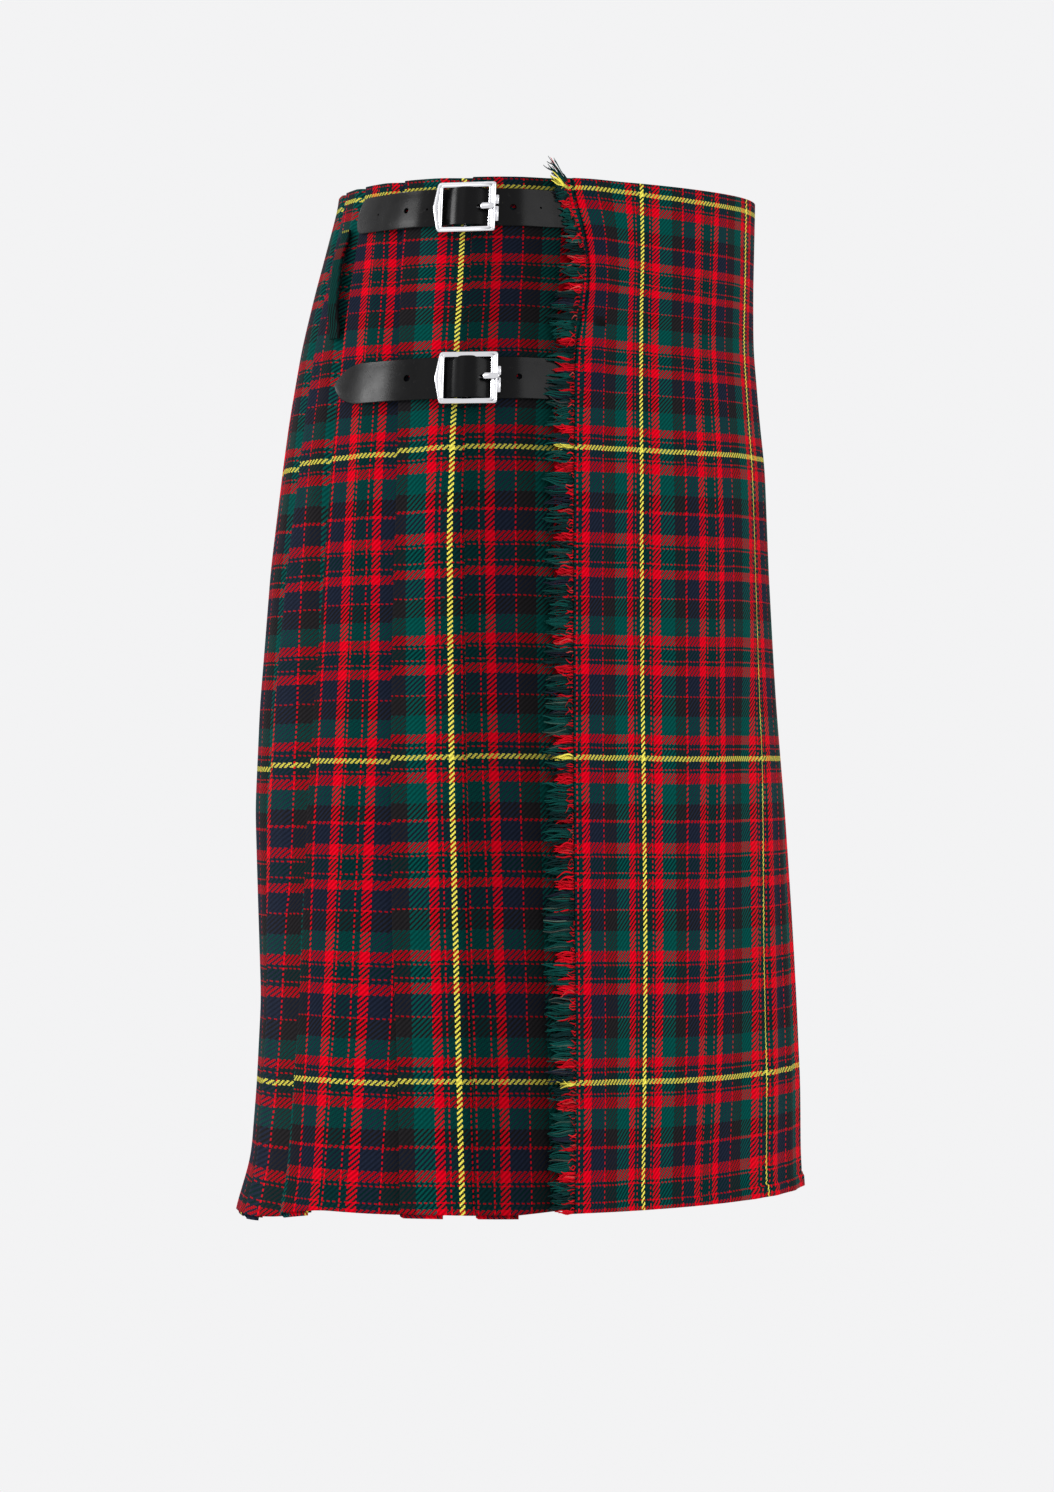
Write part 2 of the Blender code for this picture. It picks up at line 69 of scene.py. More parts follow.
# Lengths of the garment, as the construction has them
TOP_SIDE = 19.2 * MM
TOP_RISE_BACK = 0.5 * MM
TOP_DROP_FRONT = 1.5 * MM
HEM_FRONT = -604.0 * MM
HEM_DROP_BACK = 14.0 * MM
HEM_DROP_FROM = 115.0 * MM
HEM_DROP_OVER = 70.0 * MM
CLOTH = 0.9 * MM  # a little thinner than its solid
LAYER = 2.2 * MM
TURN_RADIUS = LAYER / 2
PLEAT_TOP = 1.0 * MM
PLEAT_LOW = PLEAT_TOP - 2 * LAYER
PLEAT_UNDER = 25.0 * MM
UNDER_DROP = 2.2 * MM
APRON_OUT = -0.6 * MM
UNDER_APRON_OUT = -2.4 * MM
UNDER_APRON_LEVEL = 32.0 * MM  # arc from which the under-apron lies at its own level
HIDDEN_PLEATS = 8
SHOWN_PLEATS = 3
PLEAT_COUNT = SHOWN_PLEATS + HIDDEN_PLEATS
LEFT_FOLD = 40.0 * MM
WIDEST = 12.0 * MM
FRONT_TAPER = 1.6
ROW_STEP = 4.3 * MM  # spacing of the rows of a panel's mesh
HEM_ROWS_FROM = 0.974  # they are closer together below this share of its length
SEAT_PLEATS = PLEAT_TOP + 0.9 * MM  # where leather lies on the pleats
SEAT_APRON = APRON_OUT + 0.9 * MM  # and on the apron
CORNER_STEPS = 6  # of a rounded corner of metal
X_AXIS, Y_AXIS = np.eye(3)[:2]


def ease(value: Array | float) -> Array | float:
    """Rise smoothly from 0 to 1 as value does, and stay there outside."""
    value = np.clip(value, 0.0, 1.0)
    return value * value * (3 - 2 * value)


def unit(vectors: Array) -> Array:
    """Vectors, in the last axis, at length 1."""
    return vectors / np.linalg.norm(vectors, axis=-1, keepdims=True)


class Table:
    """A short table against height in millimetres, read as smooth tracks."""

    REACH = 20.0  # half the length over which a track is eased, mm
    SAMPLES = 9

    def __init__(self, columns: str, rows: Sequence[Sequence[float]]) -> None:
        """Keep the rows, which fall down the table.

        Args:
            columns: names of the columns after the height, apart by spaces.
            rows: the height and then one number for each column.
        """
        self.names = columns.split()
        self.rows = np.array(rows, float)

    def at(self, name: str, height: Array | float) -> Array:
        """Read one column.

        Args:
            name: the column.
            height: one or more heights in metres.

        Returns:
            The column's track at each height, in metres or repeats: a table holds thousandths.
        """
        values = self.rows[:, 1 + self.names.index(name)]
        turn = np.linspace(-1, 1, self.SAMPLES + 2)[1:-1]
        weights = 1 + np.cos(turn * math.pi)
        place = -np.asarray(height, float) / MM
        total = sum(w * np.interp(place + t * self.REACH, -self.rows[:, 0], values)
                    for t, w in zip(turn, weights))
        return total / weights.sum() * MM


OUTLINE = Table("half_width front back squareness", [
    (18, 160, 148.0, 115.5, 2000),
    (-40, 167, 146.6, 131.0, 2050),
    (-75, 173, 146.6, 139.3, 2100),
    (-120, 180, 150.5, 147.0, 2150),
    (-150, 186.5, 154.0, 151.0, 2200),
    (-215, 196, 156.5, 158.7, 2300),
    (-300, 208, 161.0, 165.0, 2450),
    (-365, 217, 165.5, 167.0, 2550),
    (-450, 228, 170.0, 163.6, 2600),
    (-485, 232.5, 171.8, 162.4, 2600),
    (-540, 240, 174.7, 165.0, 2600),
    (-585, 246.5, 175.5, 168.6, 2600),
    (-622, 251, 179.0, 180.0, 2600),
])
# Arcs of the first folds, backward from the widest point
FOLDS = Table("under_apron pleat_01 pleat_02 pleat_03", [
    (20, 18, 68, 113, 153),
    (-148, 23, 66, 122, 168),
    (-240, 22.5, 67.5, 124.5, 178.5),
    (-333, 21, 67.6, 130.2, 187.5),
    (-430, 19, 66.3, 138.5, 206),
    (-526, 17, 62.2, 150.6, 221),
    (-615, 15, 60.2, 159, 232),
])
# Arc of the over-apron's turned edge, where the fringe's threads leave their
# strip, and how far they reach
EDGE = Table("edge base tip", [
    (40, 40.1, 36.3, 20.0), (18, 42.6, 38.1, 26.0), (4, 45.9, 40.1, 33.1), (-10, 51.0, 44.3, 37.0),
    (-24, 53.7, 50.9, 37.5), (-35, 54.8, 51.6, 34.4), (-46, 54.5, 48.5, 30.5), (-58, 52.6, 46.1, 29.1),
    (-72, 47.3, 43.9, 28.4), (-100, 44.1, 43.1, 27.3), (-125, 44.4, 43.0, 26.4), (-165, 43.8, 42.4, 26.0),
    (-300, 43.3, 41.9, 25.5), (-400, 43.8, 42.3, 25.5), (-500, 44.7, 43.7, 26.3), (-560, 44.4, 44.0, 28.1),
    (-640, 43.9, 41.0, 26.4),
])


class SkirtForm:
    """The surface of the skirt: a closed outline of rounded quadrants at every height."""

    LOW, HIGH, HEIGHT_STEP = -0.668, 0.060, 0.0025
    ARC_FROM, ARC_TO, ARC_STEP = -0.74, 0.76, 0.0015
    QUADRANT_STEPS = 360
    SAME_POINT = 1e-9
    DIFFERENCE = 2.5 * MM  # half the step over which directions are taken
    RIGHT_REACH = -0.26  # arc that is well behind the right hip
    EDGE_FROM = 20.0 * MM  # the waist edge is level this far from the centre
    RISE_OVER, FALL_OVER = 90.0 * MM, 110.0 * MM

    def __init__(self) -> None:
        """Work the surface out once on a fine grid of heights and arcs."""
        self.heights = np.arange(self.LOW, self.HIGH, self.HEIGHT_STEP)
        self.arcs = np.arange(self.ARC_FROM, self.ARC_TO, self.ARC_STEP)
        self.grid = np.empty((len(self.heights), len(self.arcs), 2))
        self.round_track = np.empty(len(self.heights))
        self.front_track = np.empty(len(self.heights))
        sizes = {name: OUTLINE.at(name, self.heights) for name in OUTLINE.names}
        for row in range(len(self.heights)):
            x, y, distance = self._outline(*(sizes[name][row] for name in OUTLINE.names))
            arcs = self.arcs % distance[-1]
            self.grid[row, :, 0] = np.interp(arcs, distance, x)
            self.grid[row, :, 1] = np.interp(arcs, distance, y)
            front = 2 * self.QUADRANT_STEPS - 2
            self.round_track[row] = distance[-1]
            self.front_track[row] = 2 * np.interp(0.0, x[:front], distance[:front])

    def _outline(self, width: float, front: float, back: float, square: float) -> tuple[Array, Array, Array]:
        """Trace one outline.

        Args:
            width: half width. front: depth in front. back: depth behind.
            square: how square the back quadrants are, in thousandths of a metre.

        Returns:
            The outline's x, its y and the distance along it.
        """
        turn = np.linspace(0, math.pi / 2, self.QUADRANT_STEPS)
        front_x = width * np.cos(turn)
        front_y = WIDEST - (front + WIDEST) * np.sin(turn) ** (2 / FRONT_TAPER)
        back_x = width * np.cos(turn) ** (2 / square)
        back_y = WIDEST + (back - WIDEST) * np.sin(turn) ** (2 / square)
        x = np.concatenate([-front_x, front_x[::-1], back_x, -back_x[::-1]])
        y = np.concatenate([front_y, front_y[::-1], back_y, back_y[::-1]])
        keep = np.concatenate([[True], np.hypot(np.diff(x), np.diff(y)) > self.SAME_POINT])
        x, y = x[keep], y[keep]
        return x, y, np.concatenate([[0], np.cumsum(np.hypot(np.diff(x), np.diff(y)))])

    def around(self, height: Array | float) -> Array:
        """Length of the outline at a height."""
        return np.interp(height, self.heights, self.round_track)

    def front_half(self, height: Array | float) -> Array:
        """Arc from the widest point on the right, round the front, to that on the left."""
        return np.interp(height, self.heights, self.front_track)

    def flat(self, arc: Array | float, height: Array | float) -> Array:
        """Points of the surface itself, with x, y and z last.

        Args:
            arc: arcs of the places.
            height: their heights.

        Returns:
            The points.
        """
        arc, height = np.broadcast_arrays(np.asarray(arc, float), np.asarray(height, float))
        row = np.clip((height - self.heights[0]) / self.HEIGHT_STEP, 0, len(self.heights) - 1.001)
        column = np.clip((arc - self.arcs[0]) / self.ARC_STEP, 0, len(self.arcs) - 1.001)
        i, j = row.astype(int), column.astype(int)
        a, b = (row - i)[..., None], (column - j)[..., None]
        plan = ((self.grid[i, j] * (1 - b) + self.grid[i, j + 1] * b) * (1 - a)
                + (self.grid[i + 1, j] * (1 - b) + self.grid[i + 1, j + 1] * b) * a)
        return np.concatenate([plan, height[..., None]], axis=-1)

    def axes(self, arc: Array | float, height: Array | float) -> tuple[Array, Array, Array]:
        """Forward, upward and outward directions at places on the surface.

        Args:
            arc: arcs of the places.
            height: their heights.

        Returns:
            The three unit vectors of each place.
        """
        d = self.DIFFERENCE
        forward = unit(self.flat(np.asarray(arc) + d, height) - self.flat(np.asarray(arc) - d, height))
        upward = self.flat(arc, np.asarray(height) + d) - self.flat(arc, np.asarray(height) - d)
        upward = unit(upward - forward * (forward * upward).sum(-1, keepdims=True))
        return forward, upward, np.cross(forward, upward)

    def place(self, arc: Array | float, height: Array | float, out: Array | float) -> Array:
        """Points at a distance out from the surface."""
        return self.flat(arc, height) + self.axes(arc, height)[2] * np.asarray(out)[..., None]

    def arc_behind(self, behind: float, height: float) -> float:
        """Arc of the point on the right that lies so far behind the centre.

        Args:
            behind: y of the point.
            height: its height.

        Returns:
            Its arc.
        """
        arcs = np.linspace(0, self.RIGHT_REACH, 200)
        y = self.flat(arcs, height)[:, 1]
        return float(np.interp(behind, y, arcs))

    def top_edge(self, arc: Array) -> Array:
        """Height of the waist edge."""
        behind = self.flat(arc, TOP_SIDE)[..., 1]
        return (TOP_SIDE + TOP_RISE_BACK * ease((behind - self.EDGE_FROM) / self.RISE_OVER)
                - TOP_DROP_FRONT * ease((-behind - self.EDGE_FROM) / self.FALL_OVER))

    def hem_edge(self, arc: Array) -> Array:
        """Height of the hem."""
        behind = self.flat(arc, HEM_FRONT)[..., 1]
        return HEM_FRONT - HEM_DROP_BACK * ease((behind - HEM_DROP_FROM) / HEM_DROP_OVER)

    def fold(self, number: int, height: Array | float) -> Array:
        """Distance of a fold behind the widest point; 0 is the under-apron's fold.

        Args:
            number: the fold, counted backward.
            height: heights along it.

        Returns:
            Its distances.
        """
        if number < len(FOLDS.names):
            return FOLDS.at(FOLDS.names[number], height)
        first = FOLDS.at("pleat_03", height)
        last = self.around(height) - self.front_half(height) + LEFT_FOLD
        return first + (last - first) * (number - len(FOLDS.names) + 1) / HIDDEN_PLEATS


@dataclass(frozen=True)
class Crease:
    """A soft trough (negative) or ridge in a panel, laid one by one; sizes in millimetres."""

    arc: float  # at its middle, from the panel's own start
    height: float  # of its middle
    length: float
    width: float
    depth: float
    lean: float = 0.0  # how far it leans forward over its length

    def shape(self, arc: Array, height: Array) -> Array:
        """How far it moves each place out of the surface, in metres.

        Args:
            arc: arcs of the places.
            height: their heights.

        Returns:
            The moves.
        """
        rise = (height / MM - self.height) / self.length
        middle = self.arc + self.lean * rise
        across = (arc / MM - middle) / self.width
        return self.depth * MM * np.exp(-across ** 2) * np.exp(-(2.0 * rise) ** 2)


# The apron's soft ripples: arc, height, length, width, depth and lean, laid one by one
APRON_CREASES = tuple(Crease(*numbers) for numbers in (
    (78, -330, 300, 9, 0.35, 6), (104, -470, 220, 12, 0.5, -5), (118, -250, 260, 10, 0.3, 9),
    (139, -520, 190, 10, 0.8, 4), (152, -390, 240, 8, -0.4, -6), (166, -455, 330, 9, 1.1, 5),
    (187, -500, 300, 6, -0.5, 4), (198, -505, 330, 8, 2.2, 7), (216, -470, 300, 6, -0.5, 3),
    (229, -510, 320, 10, 2.5, 8), (250, -440, 280, 8, -0.4, -5), (264, -520, 270, 11, 2.1, -4),
    (287, -485, 250, 8, -0.5, 5), (303, -500, 320, 10, 2.4, -9), (331, -450, 260, 9, 1.3, -6),
    (349, -520, 200, 7, -0.4, 4), (366, -480, 300, 10, 1.6, -7), (398, -420, 260, 12, 0.8, 6),
    (196, -170, 200, 13, 0.5, 10), (240, -130, 170, 14, 0.6, -4), (298, -190, 220, 12, 0.5, -8),
    (430, -500, 220, 11, 0.9, -5),
))


def broken_line(at: Array, places: Sequence, values: Sequence, before: float = 0.0,
                after: float = 0.0) -> Array:
    """Read a line of straight pieces.

    Args:
        at: where it is read.
        places: its corners, in rising order, each a number or one for each reading.
        values: its values there.
        before: its slope before the first corner.
        after: its slope after the last one.

    Returns:
        The values read.
    """
    result = values[0] + (at - places[0]) * before
    pairs = list(zip(places, values))
    for (start, low), (end, high) in zip(pairs, pairs[1:]):
        result = np.where(at > start, low + (high - low) * (at - start) / (end - start), result)
    return np.where(at > places[-1], values[-1] + (at - places[-1]) * after, result)


# Repeats of the weft's chart below the first yellow line, in thousandths, on the under-apron
WEFT_LINES = Table("repeat", [
    (49.5, -225), (28.8, -101), (-6.3, 116), (-29.5, 271), (-58.2, 458), (-88.6, 644), (-127.4, 893),
    (-158.7, 1068), (-196.2, 1256), (-232.2, 1445), (-265.8, 1633), (-300, 1821), (-332.6, 1998),
    (-365.1, 2165), (-399.9, 2347), (-430.5, 2503), (-460.2, 2659), (-496.2, 2841), (-526.4, 3002),
    (-556.4, 3153), (-588.1, 3309), (-663.1, 3684),
])


@dataclass(frozen=True)
class Drop:
    """How much lower than on the under-apron the rows of the weave lie, at some places across a panel."""

    places: tuple[float, ...]
    table: Table

    def at(self, place: Array, height: Array) -> Array:
        """The drop in metres; beyond the outer places it stays as it is there."""
        return broken_line(place, self.places, [self.table.at(name, height) for name in self.table.names])


LEVEL_ROWS = Drop((0.0,), Table("all", [(0, 0)]))


@dataclass(frozen=True)
class WarpChart:
    """Where the stripes of the weave lie across a panel.

    `stripes` are places in the chart, in units of which REPEAT make one
    repeat, and `arcs` has a column for each, with its arc against height.
    """

    REPEAT = 324.4
    SCALE = 0.592 * MM  # width of one unit where the cloth lies flat

    stripes: tuple[float, ...]
    arcs: Table
    before: float = SCALE
    after: float = SCALE

    def phase(self, along: Array, height: Array) -> Array:
        """Repeats of the warp's chart at places of a panel."""
        lines = [self.arcs.at(name, height) for name in self.arcs.names]
        return broken_line(along, lines, self.stripes, 1 / self.before, 1 / self.after) / self.REPEAT


# One column of a panel: by height its arc, how far out it lies, how much lower the hem hangs
# there, and the same line's place in the flat cloth
Column = tuple[Array, Array, Array, Array]


def dress(piece: Piece, finish: Finish, replaces: Sequence[str] = ()) -> Piece:
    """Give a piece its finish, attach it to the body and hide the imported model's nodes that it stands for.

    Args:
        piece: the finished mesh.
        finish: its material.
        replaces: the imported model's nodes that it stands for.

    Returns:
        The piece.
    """
    piece.data.materials.clear()
    piece.data.materials.append(finish)
    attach(piece, BODY)
    if replaces:
        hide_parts(*replaces)
    log.info("piece %s: %d faces, finish %s", piece.name, len(piece.data.polygons), finish.name)
    return piece


def mesh_piece(name: str, points: Array, faces: Array | list, weave: Array | None = None) -> Piece:
    """Make a smooth-shaded mesh.

    Args:
        name: the piece's name.
        points: the vertices, one a row.
        faces: the vertex numbers of each face.
        weave: for each vertex, its two coordinates in the weave map.

    Returns:
        The new object.
    """
    mesh = bpy.data.meshes.new(name)
    quads = faces.tolist() if isinstance(faces, np.ndarray) else faces
    mesh.from_pydata(np.asarray(points).tolist(), [], quads)
    if weave is not None:
        corner = np.empty(len(mesh.loops), np.int32)
        mesh.loops.foreach_get("vertex_index", corner)
        mesh.uv_layers.new(name=WEAVE_MAP).data.foreach_set("uv", np.asarray(weave)[corner].ravel())
    mesh.shade_smooth()
    mesh.update()
    piece = bpy.data.objects.new(name, mesh)
    bpy.context.scene.collection.objects.link(piece)
    return piece


def grid_faces(rows: int, columns: int, closed: bool = False) -> Array:
    """Quads of a grid of vertices, its rows closed into rings or not.

    Args:
        rows: how many rows.
        columns: how many vertices in a row.
        closed: the rows are rings.

    Returns:
        The vertex numbers, four a face.
    """
    last = columns if closed else columns - 1
    i, j = np.meshgrid(np.arange(rows - 1), np.arange(last), indexing="ij")
    k = (j + 1) % columns
    return np.stack([i * columns + j, (i + 1) * columns + j,
                     (i + 1) * columns + k, i * columns + k], axis=-1).reshape(-1, 4)


def thicken(piece: Piece, thickness: float) -> None:
    """Give a sheet its thickness, half on either side.

    Args:
        piece: the sheet.
        thickness: in metres.
    """
    wall = piece.modifiers.new("thickness", "SOLIDIFY")
    wall.thickness = thickness
    wall.offset = 0.0
    wall.use_even_offset = False


def turns(count: int) -> Array:
    """Angles of points spaced evenly round a full turn."""
    return np.linspace(0, 2 * math.pi, count + 1)[:-1]


@dataclass
class ClothPanel:
    """A panel of tartan on the skirt: a thin shell with its folds, creases and place in the weave."""

    form: SkirtForm
    finish: Finish
    name: str
    rests_on: tuple[str, ...]
    held: str
    chart: WarpChart
    with_pieces: tuple[str, ...] = ()
    creases: tuple[Crease, ...] = ()
    drop: Drop = LEVEL_ROWS
    HEM_ROWS = 13  # how many rows lie closer together

    def column(self, arc: Array, out: Array | float, height: Array,
               along: Array | None = None, lower: float = 0.0) -> Column:
        """One column; its place in the flat cloth is its arc unless that is given."""
        full = np.zeros_like(height)
        return full + arc, full + out, full + lower, full + (arc if along is None else along)

    def layout(self, height: Array) -> list[Column]:
        """The panel's columns at some heights."""
        raise NotImplementedError

    def across(self, along: Array, height: Array) -> Array:
        """Places of the panel as its drop counts them."""
        return along / MM

    def relief(self, arc: Array, height: Array) -> Array:
        """How far the cloth swells out of its plain form."""
        return sum((crease.shape(arc, height) for crease in self.creases), np.zeros_like(arc))

    def surface(self) -> tuple[Array, Array]:
        """Work out the panel's points and their places in the weave.

        Returns:
            The points, by row and column, and the warp and weft repeats of each.
        """
        form = self.form
        rows = int((TOP_SIDE - HEM_FRONT) / ROW_STEP)
        closer = np.linspace(HEM_ROWS_FROM, 1, self.HEM_ROWS + 1)[1:]
        share = np.concatenate([np.linspace(0, HEM_ROWS_FROM, rows), closer])[:, None]
        height = TOP_SIDE + (HEM_FRONT - TOP_SIDE) * share[:, 0]
        arc, out, lower, along = (np.stack(part, axis=1) for part in zip(*self.layout(height)))
        top = form.top_edge(arc)
        hem = form.hem_edge(arc) - lower
        level = top + (hem - top) * share
        arc, out, along = (self._resample(values, height, level) for values in (arc, out, along))
        points = form.place(arc, level, out + self.relief(arc, level))
        drop = self.drop.at(self.across(along, level), level)
        weave = np.stack([self.chart.phase(along, level), WEFT_LINES.at("repeat", level + drop)], axis=-1)
        return points, weave

    @staticmethod
    def _resample(values: Array, height: Array, level: Array) -> Array:
        """Read each column, known at regular heights, at its own heights.

        Args:
            values: the columns, one row a height.
            height: the regular heights.
            level: the heights wanted.

        Returns:
            The values there.
        """
        result = np.empty_like(level)
        for column in range(level.shape[1]):
            result[:, column] = np.interp(-level[:, column], -height, values[:, column])
        return result

    def build(self) -> Piece:
        """Make the panel and dress it.

        Returns:
            The finished piece.
        """
        points, weave = self.surface()
        rows, columns = points.shape[:2]
        piece = mesh_piece(self.name, points.reshape(-1, 3), grid_faces(rows, columns), weave.reshape(-1, 2))
        thicken(piece, CLOTH)
        dress(piece, self.finish, (self.name,))
        return piece


@dataclass
class FoldedPanel(ClothPanel):
    """A panel that ends behind in a pressed fold, its edge turned under."""

    lift: Table | None = None  # how far the pressed fold springs up, by height
    TURN_STEPS = 8
    SPRING_OVER = 28.0 * MM  # width of the cloth that springs up with it
    UNDER_STEPS = (PLEAT_UNDER, 19 * MM, 13 * MM, 7 * MM)  # columns behind the fold, on each layer
    TOP_STEPS = (6 * MM, 11 * MM, 17 * MM, PLEAT_UNDER)

    def turned_fold(self, end: Array, level: float, height: Array) -> list[Column]:
        """Columns from the edge of the turned-under layer, round the fold, to the top layer.

        Args:
            end: how far behind the widest point the fold lies.
            level: how far out the top layer lies.
            height: the heights of the rows.

        Returns:
            The columns, in the order of the flat cloth.
        """
        spring = self.lift.at("lift", height) if self.lift else 0.0
        centre, middle = end - TURN_RADIUS, level - TURN_RADIUS
        wrap = math.pi * TURN_RADIUS
        columns = []
        for behind in self.UNDER_STEPS:
            rise = spring * ease(1 - behind / self.SPRING_OVER)
            columns.append(self.column(behind - end, level - LAYER + rise, height,
                                       -centre - wrap - (behind - TURN_RADIUS), UNDER_DROP))
        for step in range(self.TURN_STEPS + 1):
            angle = -math.pi / 2 + math.pi * step / self.TURN_STEPS
            rest = 1 - step / self.TURN_STEPS
            columns.append(self.column(-centre - TURN_RADIUS * math.cos(angle),
                                       middle + TURN_RADIUS * math.sin(angle) + spring, height,
                                       -centre - wrap * rest, UNDER_DROP * rest))
        for behind in self.TOP_STEPS:
            rise = spring * ease(1 - behind / self.SPRING_OVER)
            columns.append(self.column(behind - end, level + rise, height))
        return columns


@dataclass
class KnifePleat(FoldedPanel):
    """One pleat: it starts under the fold before it and folds over the one after it."""

    number: int = 1
    SHOWS_FROM = 2.0 * MM  # behind the fold before it
    COLUMN_STEP, FEWEST_COLUMNS = 4.5 * MM, 5
    HIDDEN_STEPS = (9 * MM, 18 * MM, PLEAT_UNDER)

    def layout(self, height: Array) -> list[Column]:
        """Columns from the turned-under edge to the part under the pleat before.

        Args:
            height: heights of the rows.

        Returns:
            The columns, in the order of the flat cloth.
        """
        before = self.form.fold(self.number - 1, height)
        end = self.form.fold(self.number, height)
        shows, level = before + self.SHOWS_FROM, end - PLEAT_UNDER
        columns = self.turned_fold(end, PLEAT_TOP, height)
        steps = max(self.FEWEST_COLUMNS, round(float((level - shows).max()) / self.COLUMN_STEP))
        for step in range(1, steps + 1):
            share = step / steps
            columns.append(self.column(-(level + (shows - level) * share),
                                       PLEAT_TOP - 2 * LAYER * ease(share), height))
        for hidden in self.HIDDEN_STEPS:
            columns.append(self.column(hidden - before, PLEAT_LOW, height))
        return columns

    def across(self, along: Array, height: Array) -> Array:
        """Share of the way from the fold before to the pleat's own fold."""
        before = self.form.fold(self.number - 1, height)
        return (-along - before) / (self.form.fold(self.number, height) - before)


@dataclass
class UnderApron(FoldedPanel):
    """The inner apron, from its free edge near the left front to the fold over the first pleat."""

    REACH = 70.0 * MM  # its free edge stops this far short of the left fold
    HEM_RISE = 2.0 * MM
    COLUMNS, CROWDING = 43, 1.25  # round the front, and how they crowd towards the fold
    CHART = WarpChart((126.2,), Table("red", [
        (-5, -2.6), (-30, -3.3), (-60, -4.9), (-90, -6.2), (-130, -7.5), (-160, -7.6), (-195, -7.5),
        (-265, -6.8), (-333, -5.3), (-400, -3.2), (-460, -1.5), (-526, 0.9), (-585, 2.1), (-640, 3.0),
    ]), 0.597 * MM, 0.597 * MM)

    def layout(self, height: Array) -> list[Column]:
        """Columns from the turned-under edge, round the front, to the free edge.

        Args:
            height: heights of the rows.

        Returns:
            The columns, in the order of the flat cloth.
        """
        end = self.form.fold(0, height)
        free = self.form.front_half(height) - LEFT_FOLD - self.REACH
        low, high = UNDER_APRON_LEVEL, PLEAT_UNDER - end
        columns = self.turned_fold(end, PLEAT_TOP, height)
        for share in (0.2, 0.4, 0.6, 0.8, 1.0):
            out = PLEAT_TOP + (UNDER_APRON_OUT - PLEAT_TOP) * ease(share)
            columns.append(self.column(high + (low - high) * share, out, height,
                                       lower=-self.HEM_RISE * share))
        for share in np.linspace(0, 1, self.COLUMNS + 1)[1:]:
            columns.append(self.column(low + (free - low) * share ** self.CROWDING, UNDER_APRON_OUT, height,
                                       lower=-self.HEM_RISE))
        return columns


